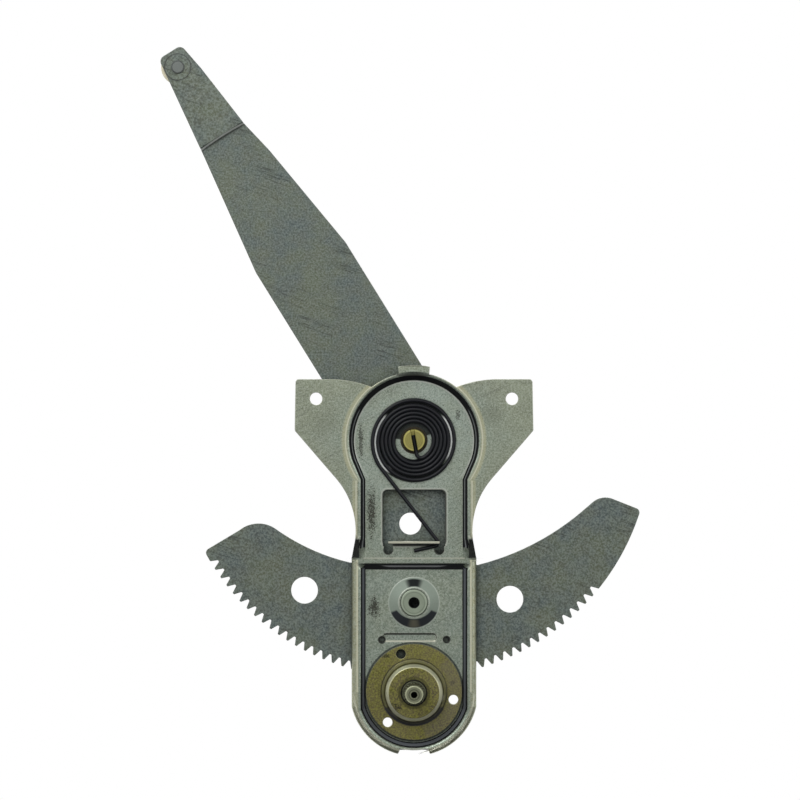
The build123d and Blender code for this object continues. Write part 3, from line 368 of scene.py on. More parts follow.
band_group, given, gives = new_group(
    "arc_band", {"Place": (VECTOR, (0, 0, 0)), "Centre": (VECTOR, (0, 0, 0)), "Inner": (VALUE, 0.0),
                 "Outer": (VALUE, 0.01), "Soft": (VALUE, 0.2 * mm), "Toward": (VECTOR, (0, 0, 1)),
                 "Least": (VALUE, -2.0)}, ("Band",))
level, radius = radius_from(band_group, given["Place"], given["Centre"])
cosine = vectors(band_group, "DOT_PRODUCT", vectors(band_group, "NORMALIZE", level), given["Toward"])
band = fade(band_group, maths(band_group, "SUBTRACT", cosine, given["Least"]), -0.05, 0.05)
for first, second in ((radius, given["Inner"]), (given["Outer"], radius)):
    spare = maths(band_group, "DIVIDE", maths(band_group, "SUBTRACT", first, second), given["Soft"])
    band = maths(band_group, "MULTIPLY", band, fade(band_group, spare, -1.0, 1.0))
band_group.links.new(front_only(band_group, band), gives["Band"])

bar_group, given, gives = new_group(
    "straight_bar", {"Place": (VECTOR, (0, 0, 0)), "Centre": (VECTOR, (0, 0, 0)),
                     "Half": (VECTOR, (0.01, 1, 0.01)), "Round": (VALUE, 0.2 * mm),
                     "Soft": (VALUE, 0.2 * mm)}, ("Bar",))
away = vectors(bar_group, "ABSOLUTE", vectors(bar_group, "SUBTRACT", given["Place"], given["Centre"]))
past = vectors(bar_group, "SUBTRACT", away, given["Half"])
past = vectors(bar_group, "MAXIMUM", vectors(bar_group, "ADD", past, given["Round"]))
past = vectors(bar_group, "LENGTH", vectors(bar_group, "MULTIPLY", past, (1, 0, 1)))
spare = maths(bar_group, "SUBTRACT", given["Round"], past)
least = maths(bar_group, "DIVIDE", spare, given["Soft"])
bar_group.links.new(front_only(bar_group, fade(bar_group, least, -1.0, 1.0)), gives["Bar"])
print("groups", band_group.name, bar_group.name)

# %% [markdown]
# ## A finish is a stack of layers
# A finish starts as one colour, one roughness and one share of metal. Each layer then
# lays a colour or a roughness over the last wherever its mask is white, much as dirt,
# wear and plating build up on the real sheet.
# %% Finish


class Finish:
    """A material built up in layers over a plain start."""

    def __init__(self, name, colour, roughness, metallic, specular=0.5):
        self.material = bpy.data.materials.new(name)
        self.material.use_nodes = True
        self.tree = self.material.node_tree
        self.shader = self.tree.nodes["Principled BSDF"]
        self.place = self.tree.nodes.new("ShaderNodeTexCoord").outputs["Object"]
        self.colour = (*colour, 1)
        self.roughness = roughness
        self.metallic = metallic
        self.specular = specular
        self.normal = None

    def effect(self, group, **values):
        """Place a node group, feed it the place, and return its outputs."""
        made = add_node(self.tree, "ShaderNodeGroup", {"node_tree": group}, values)
        if "Place" in made.inputs:
            self.tree.links.new(self.place, made.inputs["Place"])
        return made.outputs

    def attribute(self, name):
        """A mask that was painted on the mesh."""
        return add_node(self.tree, "ShaderNodeAttribute", {"attribute_name": name}).outputs["Fac"]

    def mixed(self, kind, sockets, mask, amount, old, new):
        """One Mix node from old to new."""
        mix = add_node(self.tree, "ShaderNodeMix", {"data_type": kind})
        factor, first, second, result = sockets
        self.tree.links.new(maths(self.tree, "MULTIPLY", mask, amount), mix.inputs[factor])
        for socket, value in ((first, old), (second, new)):
            if isinstance(value, bpy.types.NodeSocket):
                self.tree.links.new(value, mix.inputs[socket])
            else:
                mix.inputs[socket].default_value = value
        return mix.outputs[result]

    def layer(self, mask, colour=None, roughness=None, amount=1.0, metallic=None, specular=None):
        """Lay a colour or another quality over the last where the mask is white."""
        if colour is not None:
            self.colour = self.mixed("RGBA", (0, 6, 7, 2), mask, amount, self.colour, (*colour, 1))
        for quality, value in (("roughness", roughness), ("metallic", metallic), ("specular", specular)):
            if value is not None:
                old = getattr(self, quality)
                setattr(self, quality, self.mixed("FLOAT", (0, 2, 3, 0), mask, amount, old, value))

    def blacken(self, mask, amount=0.95):
        """Painted shade: no colour and hardly a reflection."""
        self.layer(mask, (0.005, 0.005, 0.007), 0.9, amount, metallic=0.0, specular=0.06)

    def band(self, centre, inner, outer, soft=0.25, facing=0.0, spread=180.0):
        """A mask between two radii in millimetres, within a spread in degrees of a facing."""
        toward = (math.sin(math.radians(facing)), 0.0, math.cos(math.radians(facing)))
        least = math.cos(math.radians(spread)) if spread < 180 else -2.0
        return self.effect(band_group, Centre=centre, Inner=inner * mm, Outer=outer * mm,
                           Soft=soft * mm, Toward=toward, Least=least)["Band"]

    def bar(self, x, z, half_x, half_z, soft=0.25, corner=0.3):
        """A mask on a bar given by its middle, half sizes and corner radius in millimetres."""
        return self.effect(bar_group, Centre=(x * mm, 0, z * mm), Half=(half_x * mm, 1, half_z * mm),
                           Round=corner * mm, Soft=soft * mm)["Bar"]

    def relief(self, height, depth, strength=1.0):
        """Raise the surface by a depth in metres where the height is white."""
        bump = add_node(self.tree, "ShaderNodeBump", values={"Strength": strength, "Distance": depth},
                        links={"Height": height})
        if self.normal is not None:
            self.tree.links.new(self.normal, bump.inputs["Normal"])
        self.normal = bump.outputs[0]

    def done(self):
        """Feed the shader and return the material."""
        for label, value in (("Base Color", self.colour), ("Roughness", self.roughness),
                             ("Metallic", self.metallic), ("Specular IOR Level", self.specular),
                             ("Normal", self.normal)):
            if isinstance(value, bpy.types.NodeSocket):
                self.tree.links.new(value, self.shader.inputs[label])
            elif value is not None:
                self.shader.inputs[label].default_value = value
        return self.material


print("finishes can be layered")

# %% [markdown]
# ## Zinc-plated housing sheet
# The housing is drawn from one sheet and zinc plated. Its flat floors are cool and even,
# the ears are warmer, and the steep walls of the pan carry painted shade, almost black,
# with one painted bright line. Dirt sits left of the spring leg.
# %% Housing steel
boss_low, boss_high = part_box("boss_nut")
boss_centre = (boss_low + boss_high) / 2
crank_axis = Vector((0, 0, 0))
# Colours for painted shade and for the painted highlights on the crests.
shade_black = (0.01, 0.01, 0.01)
crest_highlight, crest_glint = (0.50, 0.47, 0.28), (0.8, 0.8, 0.66)
zinc = Finish("housing_steel", (0.19, 0.235, 0.195), 0.38, 0.85)
warm = zinc.attribute("warm")
zinc.layer(warm, (0.235, 0.255, 0.175), 0.44, 0.85)
blotches = zinc.effect(grain_group, Size=3400.0)["Cloud"]
zinc.layer(maths(zinc.tree, "MULTIPLY", warm, blotches), (0.118, 0.118, 0.062), 0.5, 0.6)
zinc.layer(blotches, (0.15, 0.18, 0.15), 0.42, 0.25)
below_bend = zinc.bar(0, 20, 60, 66, 1.0)
zinc.layer(maths(zinc.tree, "MULTIPLY", warm, below_bend), (0.47, 0.455, 0.28), 0.36, 0.8)
zinc.layer(zinc.band(pivot, 0, 42, 6.0), (0.30, 0.355, 0.32), 0.36, 0.4)
grain = zinc.effect(grain_group, Size=850.0)
zinc.layer(grain["Cloud"], (0.20, 0.225, 0.15), 0.44, 0.5)
zinc.layer(grain["Grain"], (0.50, 0.55, 0.47), 0.30, 0.5)
rubs = zinc.effect(rub_group, Size=420.0, Turn=0.12)
zinc.layer(rubs["Marks"], (0.5, 0.52, 0.48), 0.25, 0.25)
rubs = zinc.effect(rub_group, Size=300.0, Turn=-1.1)
zinc.layer(rubs["Marks"], (0.06, 0.06, 0.05), 0.5, 0.65)
print("sheet is plain so far")

# %% [markdown]
# Wear lies over the plating: dirt beside the spring's leg and the boss, and bare metal on the
# edges. The crests where wall and flange meet get painted highlights, and the rim's outer
# side painted shade. Each is a mask of its own, so one can be moved or weakened without
# the others.
# %% Dirt, worn edges and painted highlights on the housing
for centre, reach, amount in (
    ((-27.5, -2.4, 117), (4.8, 12, 27), 0.85),
    ((-26, 1.6, 55), (6.5, 12, 12), 0.85),
    ((-34.5, -2.4, 163), (3.0, 12, 18), 0.7),
    ((28.5, -2.4, 180), (3.0, 12, 6), 0.6),
    ((50, -9, 180), (16, 12, 12), 0.2),
    ((-58, -9, 176), (18, 12, 14), 0.2),
):
    specks = zinc.effect(dirt_group, Centre=[x * mm for x in centre], Reach=[x * mm for x in reach],
                         Size=1500.0)
    zinc.layer(specks["Specks"], (0.035, 0.033, 0.026), 0.7, amount)
worn = zinc.effect(wear_group, Radius=0.9 * mm)
zinc.layer(worn["Edge"], (0.60, 0.62, 0.52), 0.28, 0.65)
# Painted highlights on the crests of ring, neck and rim, and painted shade on the rim's outer side.
above_neck = zinc.band(pivot, 40, 50, 0.5, 0, 125)
for inner, outer, soft, colour, amount in ((43.6, 46.8, 0.9, crest_highlight, 0.45),
                                           (44.2, 44.8, 0.35, crest_glint, 0.5)):
    crest_ring = maths(zinc.tree, "MULTIPLY", zinc.band(pivot, inner, outer, soft, 180, 150), above_neck)
    zinc.layer(crest_ring, colour, 0.3, amount)
for side in (-1, 1):
    zinc.layer(zinc.bar(side * 38.3, 119, 1.5, 18.5, 0.9), crest_highlight, 0.3, 0.5)
    zinc.layer(zinc.bar(side * 37.6, 119, 0.35, 18.5, 0.35), crest_glint, 0.3, 0.5)
    zinc.layer(zinc.bar(side * 36.9, 43, 0.5, 43, 0.3), (0.8, 0.79, 0.6), 0.3, 0.6)
    zinc.layer(zinc.bar(side * 41.4, 43, 0.9, 43, 0.5), (0.05, 0.053, 0.04), 0.5, 0.6)
zinc.layer(zinc.band(crank_axis, 38.6, 39.6, 0.4, 180, 88), (0.7, 0.7, 0.56), 0.3, 0.5)
print("dirt laid")

# %% [markdown]
# Pressed walls mirror the room in dark and bright stripes. Getting those from the lights
# alone takes a much richer studio, so here they are painted at their place on the sheet.
# The cost is that they stay put when the view turns, which real reflections don't.
# %% Dark and bright lines of the pressed forms
wall = zinc.attribute("wall")
climb = zinc.attribute("climb")
zinc.blacken(maths(zinc.tree, "MULTIPLY", wall, fade(zinc.tree, climb, 1.0, 0.93)), 0.98)
low_part = zinc.bar(0, 0, 60, 80, 1.0)
for part, low, high, colour in (
    (zinc.band(pivot, 30, 84, 0.5, 180, 118), 0.34, 0.52, (0.24, 0.25, 0.26)),
    (low_part, 0.24, 0.64, (0.17, 0.185, 0.205)),
):
    stripe = maths(zinc.tree, "MULTIPLY", fade(zinc.tree, climb, low - 0.04, low + 0.04),
                   fade(zinc.tree, climb, high + 0.04, high - 0.04))
    stripe = maths(zinc.tree, "MULTIPLY", stripe, maths(zinc.tree, "MULTIPLY", wall, part))
    zinc.layer(stripe, colour, 0.4, 0.9, metallic=0.6, specular=0.4)
zinc.layer(zinc.band(pivot, 38.0, 38.9, 0.3, 0, 128), (0.5, 0.52, 0.48), 0.3, 0.5)
zinc.blacken(zinc.band(pivot, 39.6, 44.5, 0.35, 0, 14.5))
# Painted shade on the floor under the close turns of the coil and round the pin.
zinc.blacken(zinc.band(pivot, 12.5, 23.2, 0.4), 0.9)
for facing, spread in ((0, 48), (180, 52)):
    zinc.blacken(zinc.band(pivot, 12.5, 27.4, 0.4, facing, spread), 0.9)
zinc.blacken(zinc.band(pivot, 7.5, 12.6, 0.6, -8, 78), 0.9)
# Painted shade in narrow gaps.
zinc.blacken(zinc.effect(shade_group, Reach=4 * mm)["Shade"], 0.6)
# Painted highlights on the floor seen in the coil's open gaps.
for facing, spread in ((-95, 46), (85, 34)):
    zinc.layer(zinc.band(pivot, 23.6, 27.0, 0.3, facing, spread), (0.66, 0.68, 0.66), 0.3, 0.9,
               metallic=0.8, specular=0.5)
# Painted shade on the sloping flange beside the neck.
for side in (-1, 1):
    zinc.blacken(zinc.bar(side * 40.4, 93.4, 4.9, 6.2, 0.35), 0.96)
# A painted highlight along the top of the step between the floors.
zinc.layer(zinc.bar(0, 87.0, 33, 0.5, 0.3), (0.55, 0.55, 0.45), 0.3, 0.5)
# Painted shade round the brake cover's edge.
zinc.blacken(zinc.band(crank_axis, 31.4, 32.6, 0.3), 0.75)
# A painted highlight round the window, painted shade just inside its edge and in the two small holes.
for half_x, half_z, colour, amount in ((21.8, 19.4, (0.5, 0.52, 0.46), 0.5), (20.9, 18.5, shade_black, 0.85)):
    zinc.layer(zinc.bar(0.2, 113.3, half_x, half_z, 0.3, 3.6), colour, 0.5, amount)
for x in (-16.8, 16.3):
    zinc.layer(zinc.band(Vector((x * mm, 0, 92.4 * mm)), 0, 3.3, 0.3), shade_black, 0.6, 0.8)
# A painted highlight on the spring tab's edge and painted shade beneath it.
zinc.layer(zinc.bar(-0.2, 97.5, 16.8, 0.7, 0.2), (0.50, 0.50, 0.40), 0.35, 0.9)
zinc.blacken(zinc.bar(-0.2, 96.3, 16.8, 0.45, 0.2), 0.7)
# Painted shade along the groove's upper edge, a painted highlight on its lower lip, and painted shade in the
# two holes beside it.
zinc.layer(zinc.bar(-2.8, 37.5, 16.8, 0.5, 0.3), (0.012, 0.012, 0.012), 0.6, 0.85)
zinc.layer(zinc.bar(-2.8, 33.0, 16.8, 0.6, 0.3), (0.55, 0.55, 0.44), 0.3, 0.65)
for x, z in ((-20.9, 33.8), (21.2, 34.0)):
    zinc.layer(zinc.band(Vector((x * mm, 0, z * mm)), 0, 2.6, 0.3), shade_black, 0.6, 0.85)
# Painted shade lines along the edges of the top tab.
zinc.layer(zinc.bar(-0.3, 212.0, 11, 0.5, 0.3), (0.03, 0.03, 0.025), 0.5, 0.5)
zinc.layer(zinc.bar(-0.3, 206.0, 11, 0.5, 0.3), (0.03, 0.03, 0.025), 0.5, 0.6)
print("lines laid")

# %% [markdown]
# The boss is a low cone round a nut. Its light and shade are painted as arcs in the same
# way and at the same cost: from other sides they are not what real sheet would show.
# %% Light and shade of the pressed boss
zinc.layer(zinc.band(boss_centre, 10.0, 16.6, 0.4), (0.27, 0.32, 0.27), 0.6, 0.9, metallic=0.25)
zinc.layer(zinc.band(boss_centre, 16.2, 16.9, 0.4), (0.5, 0.53, 0.47), 0.3, 0.4)
zinc.layer(zinc.band(boss_centre, 10.6, 15.4, 0.5, 0, 20), (0.008, 0.009, 0.011), 0.7, 0.97,
           metallic=0.0, specular=0.05)
shade = maths(zinc.tree, "MULTIPLY", zinc.band(boss_centre, 0, 16.4, 0.5, 180, 67),
              zinc.band(boss_centre + Vector((0, 0, 3.4 * mm)), 13.9, 40, 0.5))
zinc.layer(shade, (0.010, 0.011, 0.018), 0.7, 0.95, metallic=0.0, specular=0.1)
zinc.layer(zinc.band(boss_centre, 11.2, 16.0, 0.6, 180, 7), (0.20, 0.19, 0.13), 0.5, 0.75, metallic=0.3)
zinc.layer(zinc.band(boss_centre, 9.9, 10.4, 0.3), (0.5, 0.52, 0.45), 0.3, 0.5)
zinc.blacken(zinc.band(boss_centre, 8.5, 9.1, 0.25), 0.8)
zinc.relief(grain["Grain"], 0.02 * mm, 0.5)
housing_steel = zinc.done()
print("material", housing_steel.name)

# %% [markdown]
# ## The other finishes
# The brake cover is yellow-chromated zinc, which clouds to olive and violet. Sector and
# arm are phosphated grey, the spring is oiled black wire, and the shaft end is bare.
# %% Cover steel
chromate = Finish("cover_steel", (0.088, 0.088, 0.012), 0.42, 0.7)
grain = chromate.effect(grain_group, Size=850.0)
chromate.layer(grain["Cloud"], (0.145, 0.125, 0.085), 0.48, 0.6)
blotches = chromate.effect(grain_group, Size=6000.0)["Cloud"]
chromate.layer(blotches, (0.085, 0.068, 0.050), 0.52, 0.85)
chromate.layer(grain["Grain"], (0.36, 0.345, 0.075), 0.36, 0.55)
for centre, reach in (((-18.5, 0, 23.5), (5.5, 12, 2.6)), ((-15, -12, 14.3), (3.4, 30, 2.2)),
                      ((-12, -20, -10), (6, 30, 6)), ((25, 0, 6), (3.5, 12, 2.5))):
    specks = chromate.effect(dirt_group, Centre=[x * mm for x in centre], Reach=[x * mm for x in reach],
                             Size=900.0)
    chromate.layer(specks["Specks"], (0.02, 0.02, 0.015), 0.7, 0.7)
worn = chromate.effect(wear_group, Radius=0.8 * mm)
chromate.layer(worn["Edge"], (0.52, 0.52, 0.34), 0.3, 0.6)
# Painted highlights and painted shade in rings on the cup's bends, round the shaft and at the cover's edge.
for inner, outer, colour, amount in (
    (16.5, 18.6, (0.62, 0.62, 0.45), 0.8), (18.7, 19.4, shade_black, 0.85),
    (19.6, 20.7, (0.46, 0.46, 0.28), 0.75), (21.0, 21.8, shade_black, 0.85),
    (8.5, 10.5, (0.05, 0.05, 0.015), 0.6), (31.0, 32.2, (0.02, 0.02, 0.01), 0.7),
):
    chromate.layer(chromate.band(crank_axis, inner, outer, 0.3), colour, 0.35, amount)
chromate.layer(chromate.band(crank_axis, 22.5, 31, 2.5, 105, 60), (0.16, 0.145, 0.12), 0.45, 0.35)
# Painted shade under the cup, dark below as if lit from above.
chromate.layer(chromate.band(crank_axis, 19.0, 22.2, 0.4, 180, 62), (0.008, 0.009, 0.014), 0.7, 0.9,
               metallic=0.0)
# Painted shade round the shaft and in narrow gaps.
chromate.blacken(chromate.band(crank_axis, 6.5, 8.7, 0.3))
chromate.blacken(chromate.effect(shade_group, Reach=4 * mm)["Shade"], 0.6)
chromate.relief(grain["Grain"], 0.02 * mm, 0.5)
cover_steel = chromate.done()
print("material", cover_steel.name)

# %% [markdown]
# Sector and arm are cut from thicker plate with a dull grey phosphate coat. They are
# flat, so blotches and long scratches matter more than gloss.
# %% Sector and arm steel
stud_low, stud_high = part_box("roller_stud")
stud_centre = (stud_low + stud_high) / 2
phosphate = Finish("plate_steel", (0.058, 0.076, 0.080), 0.5, 0.55)
grain = phosphate.effect(grain_group, Size=850.0)
phosphate.layer(grain["Cloud"], (0.100, 0.112, 0.060), 0.55, 0.75)
blotches = phosphate.effect(grain_group, Size=2600.0)["Cloud"]
phosphate.layer(blotches, (0.084, 0.078, 0.054), 0.55, 0.35)
phosphate.layer(grain["Grain"], (0.26, 0.31, 0.275), 0.42, 0.5)
rubs = phosphate.effect(rub_group, Size=120.0, Turn=1.25, Width=0.022)
phosphate.layer(rubs["Marks"], (0.02, 0.022, 0.02), 0.5, 0.6)
rubs = phosphate.effect(rub_group, Size=330.0, Turn=-0.8)
phosphate.layer(rubs["Marks"], (0.26, 0.28, 0.24), 0.4, 0.4)
worn = phosphate.effect(wear_group, Radius=0.5 * mm)
phosphate.layer(worn["Edge"], (0.24, 0.25, 0.23), 0.4, 0.5)
# Painted shade in narrow gaps: dark in the boss's bore and under the housing.
phosphate.blacken(phosphate.effect(shade_group, Reach=8 * mm)["Shade"], 0.9)
phosphate.layer(phosphate.band(stud_centre, 8.2, 8.9, 0.3), (0.03, 0.03, 0.03), 0.5, 0.75)
arm_heading = math.degrees(math.atan2((stud_centre - pivot).x, (stud_centre - pivot).z))
joggle_at = (stud_centre - pivot).xz.length - 53.5 * mm
# A painted shade line and a painted highlight line along the arm's joggle.
for inner, outer, colour in ((-0.9, -0.1, (0.012, 0.012, 0.012)), (0.1, 1.0, (0.8, 0.82, 0.8))):
    line = phosphate.band(pivot, joggle_at / mm + inner, joggle_at / mm + outer, 0.25, arm_heading, 6)
    phosphate.layer(line, colour, 0.6, 0.85, metallic=0.0)
phosphate.relief(grain["Grain"], 0.03 * mm, 0.6)
plate_steel = phosphate.done()
print("material", plate_steel.name)

# %% [markdown]
# The wire is black and oiled. A nearly black colour with a low specular level keeps the
# turns apart from one another, where a glossy one would join them in one highlight.
# %% Spring wire
wire_black = Finish("spring_steel", (0.005, 0.006, 0.008), 0.4, 0.0, 0.22)
grain = wire_black.effect(grain_group, Size=1500.0)
wire_black.layer(grain["Grain"], (0.014, 0.014, 0.017), 0.5, 0.5)
spring_steel = wire_black.done()
print("material", spring_steel.name)

# %% [markdown]
# Shaft, pin, nut, bushings and rivets differ in colour and in a few set rings: painted
# highlights on chamfers, and painted shade in bores and round edges. One function makes
# them all, and is told each piece's axis and rings.
# %% Turned and machined steel


def machined(name, colour, roughness, centre, metallic=0.9, pitch=0.45 * mm, rings=()):
    """Steel with the fine rings of a lathe round a centre, and any set rings of painted highlight and painted
    shade.
    """
    turned_steel = Finish(name, colour, roughness, metallic)
    grain = turned_steel.effect(grain_group, Size=1200.0)
    turned_steel.layer(grain["Cloud"], [c * 0.72 for c in colour], roughness + 0.08, 0.7)
    fine = turned_steel.effect(lathe_group, Centre=centre, Pitch=pitch)
    turned_steel.layer(fine["Rings"], [min(1.0, c * 1.2) for c in colour], roughness - 0.06, 0.5)
    worn = turned_steel.effect(wear_group, Radius=0.4 * mm)
    turned_steel.layer(worn["Edge"], [min(1.0, c * 1.6) for c in colour], roughness - 0.06, 0.6)
    # A factor above one paints a highlight, below one painted shade, and none paints the ring black.
    for inner, outer, shade, amount in rings:
        mask = turned_steel.band(centre, inner, outer, 0.2)
        if shade:
            turned_steel.layer(mask, [min(1.0, c * shade) for c in colour], roughness, amount)
        else:
            turned_steel.blacken(mask, amount)
    turned_steel.relief(fine["Rings"], 0.01 * mm, 0.4)
    return turned_steel.done()


shaft_steel = machined("shaft_steel", (0.215, 0.225, 0.15), 0.38, crank_axis, rings=(
    (5.0, 5.7, 2.4, 0.8), (6.0, 6.9, 0.2, 0.8), (2.9, 3.7, 0.25, 0.7), (0, 2.2, 0, 0.97)))
nut_steel = machined("nut_steel", (0.28, 0.325, 0.25), 0.4, boss_centre, rings=(
    (7.6, 8.1, 1.6, 0.5), (6.6, 7.0, 0.4, 0.5), (0, 3.7, 0, 0.97)))
pin_steel = machined("pin_steel", (0.27, 0.245, 0.08), 0.36, pivot, pitch=1.1 * mm, rings=(
    (6.0, 6.7, 1.9, 0.6), (6.9, 7.6, 0.1, 0.8)))
rivet_steel = machined("rivet_steel", (0.16, 0.17, 0.16), 0.45, pivot, 0.7)
stud_steel = machined("stud_steel", (0.15, 0.165, 0.155), 0.45, stud_centre, 0.7, rings=(
    (3.5, 4.1, 0.2, 0.7),))
bearing_bronze = machined("bearing_bronze", (0.20, 0.17, 0.10), 0.45, pivot, 0.8, rings=(
    (7.0, 9.2, 0, 0.8),))
nylon = Finish("roller_nylon", (0.72, 0.68, 0.52), 0.45, 0.0)
grain = nylon.effect(grain_group, Size=700.0)
nylon.layer(grain["Cloud"], (0.60, 0.55, 0.39), 0.5, 0.6)
roller_nylon = nylon.done()
print("materials", len(bpy.data.materials))

# %% [markdown]
# ## Softening sheared and pressed edges
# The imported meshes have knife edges. Real sheet has a small rounding from the shear and
# the tumbling barrel, and that rounding is what catches the light. A copy of a node is
# merged, its flats are dissolved back to single faces, and a Bevel modifier rounds it.
# %% Softened copies
finishes = {
    "housing_steel": housing_steel, "cover_steel": cover_steel, "nut_steel": nut_steel,
    "bearing_bronze": bearing_bronze, "spring_steel": spring_steel, "shaft_steel": shaft_steel,
    "plate_steel": plate_steel, "rivet_steel": rivet_steel, "pin_steel": pin_steel,
    "roller_nylon": roller_nylon,
}
merge_distance = 0.002 * mm
flat_angle = math.radians(0.6)
smooth_spare = 8.0     # degrees past the crease that still shade smooth
slots = {part["node"]: part["material_slot"] for part in frame["record"]["subparts"]}
bodies = {node: body for body, nodes in frame["record"]["behaviour"]["bodies"].items() for node in nodes}


def select_only(piece):
    """Make one object the only selected and the active one."""
    bpy.ops.object.select_all(action="DESELECT")
    piece.select_set(True)
    bpy.context.view_layer.objects.active = piece


def settle(piece, node, material=None):
    """Give a finished piece its material and body, and hide the node that it stands for."""
    piece.data.materials.clear()
    piece.data.materials.append(material or finishes[slots[node]])
    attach(piece, bodies[node])
    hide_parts(node)


def softened(node, name, width, crest=None, crest_width=0.0, crease=32.0, material=None):
    """A copy of a CAD node with its sharp edges rounded by a width in millimetres.

    Edges whose middle crest() picks are rounded by the crest width instead.
    """
    piece = bpy.data.objects.new(name, frame["nodes"][node].data.copy())
    bpy.context.scene.collection.objects.link(piece)
    select_only(piece)
    bpy.ops.object.mode_set(mode="EDIT")
    bpy.ops.mesh.select_all(action="SELECT")
    bpy.ops.mesh.remove_doubles(threshold=merge_distance)
    bpy.ops.mesh.dissolve_limited(angle_limit=flat_angle)
    bpy.ops.mesh.vert_connect_concave()
    bpy.ops.mesh.normals_make_consistent(inside=False)
    bpy.ops.mesh.select_mode(type="EDGE")
    bpy.ops.mesh.select_all(action="DESELECT")
    bpy.ops.mesh.edges_select_sharp(sharpness=math.radians(crease))
    bpy.ops.object.mode_set(mode="OBJECT")
    mesh = piece.data
    mesh.attributes.new("warm", "FLOAT", "POINT")
    widest = max(width, crest_width)
    weight = mesh.attributes.new("bevel_weight_edge", "FLOAT", "EDGE")
    for edge in mesh.edges:
        if edge.select:
            start, end = (mesh.vertices[index].co for index in edge.vertices)
            crested = crest is not None and crest((start + end) / 2)
            weight.data[edge.index].value = (crest_width if crested else width) / widest
    rounding = piece.modifiers.new("rounding", "BEVEL")
    rounding.width = widest * mm
    rounding.segments = 3 if crest else 2
    rounding.limit_method = "WEIGHT"
    rounding.use_clamp_overlap = False
    rounding.loop_slide = False
    bpy.ops.object.modifier_apply(modifier=rounding.name)
    bpy.ops.object.shade_smooth_by_angle(angle=math.radians(crease + smooth_spare))
    flatness = piece.modifiers.new("flatness", "WEIGHTED_NORMAL")
    flatness.keep_sharp = True
    bpy.ops.object.modifier_apply(modifier=flatness.name)
    low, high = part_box(node)
    for vertex in piece.data.vertices:
        vertex.co = [min(max(value, least), most) for value, least, most in zip(vertex.co, low, high)]
    settle(piece, node, material)
    print(name, len(piece.data.polygons), "faces")
    return piece


# %% [markdown]
# The edge where the pan's wall meets the flange was drawn over a die, so it is rounder
# than a sheared edge. These functions tell which edges of the housing those are.
# %% Where the pan's mouth is
ring_wall = 43.5 * mm
pan_half = 36.2 * mm
pan_end = 38.2 * mm
neck_top_z = 139 * mm
pivot_floor_rise, ear_rise = 2.4 * mm, 9.4 * mm
brake_floor_rise, rim_rise = -1.6 * mm, 3.4 * mm
bend_low, bend_high = 87 * mm, 100 * mm
mouth_width = 7 * mm
on_face = 0.06 * mm


def in_pan(point, spare=0.0):
    """Whether a point lies within the pan's walls, seen from the crank side."""
    if point.z > neck_top_z:
        return (point - pivot).xz.length < ring_wall + spare
    if point.z < 0:
        return point.xz.length < pan_end + spare
    return abs(point.x) < pan_half + spare


def flange_rise(z):
    """Height of the flange's front face at a Z."""
    share = min(1.0, max(0.0, (z - bend_low) / (bend_high - bend_low)))
    return rim_rise + share * (ear_rise - rim_rise)


def at_mouth(point):
    """Whether a point lies on the edge where the pan's wall meets the flange."""
    on_flange = abs(-point.y - flange_rise(point.z)) < on_face
    return on_flange and in_pan(point) and not in_pan(point, -mouth_width)


# %% [markdown]
# Stampings get about 0.3 mm and gear teeth less, because a wide rounding would eat the
# tip of a tooth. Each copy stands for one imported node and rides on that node's body.
# %% Softened pieces
housing = softened("housing", "stamped_housing", 0.3, crest=at_mouth, crest_width=1.0)
softened("brake_cover", "drawn_brake_cover", 0.3)
softened("boss_nut", "swaged_boss_nut", 0.25)
softened("crank_shaft", "splined_crank_shaft", 0.1)
softened("sector_gear", "toothed_sector", 0.22)
softened("lift_arm", "tapering_lift_arm", 0.3)
softened("pivot_pin", "slotted_pivot_pin", 0.3)
softened("roller_stud", "riveted_roller_stud", 0.3, material=stud_steel)
softened("roller", "nylon_roller", 0.35)
for node, name, width in (
    ("pivot_bushing", "flanged_pivot_bushing", 0.2), ("sleeve_bushing", "flanged_sleeve_bushing", 0.2),
    ("rear_bushing", "flanged_rear_bushing", 0.2), ("arm_rivets", "arm_rivet_heads", 0.35),
    ("pin_washer", "keyed_pin_washer", 0.3), ("roller_washer", "roller_thrust_washer", 0.2),
    ("pinion", "crank_pinion", 0.15), ("retaining_ring", "shaft_retaining_ring", 0.12),
    ("drive_plate", "brake_drive_plate", 0.2), ("driven_plate", "brake_driven_plate", 0.2),
    ("brake_spring", "wrap_brake_spring", 0.2),
):
    softened(node, name, width)

# %% [markdown]
# ## Painting where the housing is pressed
# Some looks follow the forming, not a place in space, so they are painted on the mesh:
# the steep pan walls, how far up the wall a point is, and how near to the open ears.
# %% Housing masks
boss_reach = 18 * mm
floor_step_z = 0.5 * (bend_low + 83 * mm)     # the higher pivot floor starts here
steepest, least_steep = -0.75, -0.02
mesh = housing.data
wall_mask = mesh.attributes.new("wall", "FLOAT", "FACE")
climb_mask = mesh.attributes.new("climb", "FLOAT", "POINT")
warm_mask = mesh.attributes["warm"]
for face in mesh.polygons:
    spot, slope = face.center, face.normal
    steep = steepest < slope.y < least_steep and in_pan(spot)
    boss = (spot - boss_centre).xz.length < boss_reach
    wall_mask.data[face.index].value = float(steep and not boss)
for vertex in mesh.vertices:
    spot = vertex.co
    low = pivot_floor_rise if spot.z > floor_step_z else brake_floor_rise
    climb_mask.data[vertex.index].value = (-spot.y - low) / (flange_rise(spot.z) - low)
    warm_mask.data[vertex.index].value = float(not in_pan(spot))
print("wall faces", sum(1 for flag in wall_mask.data if flag.value > 0))

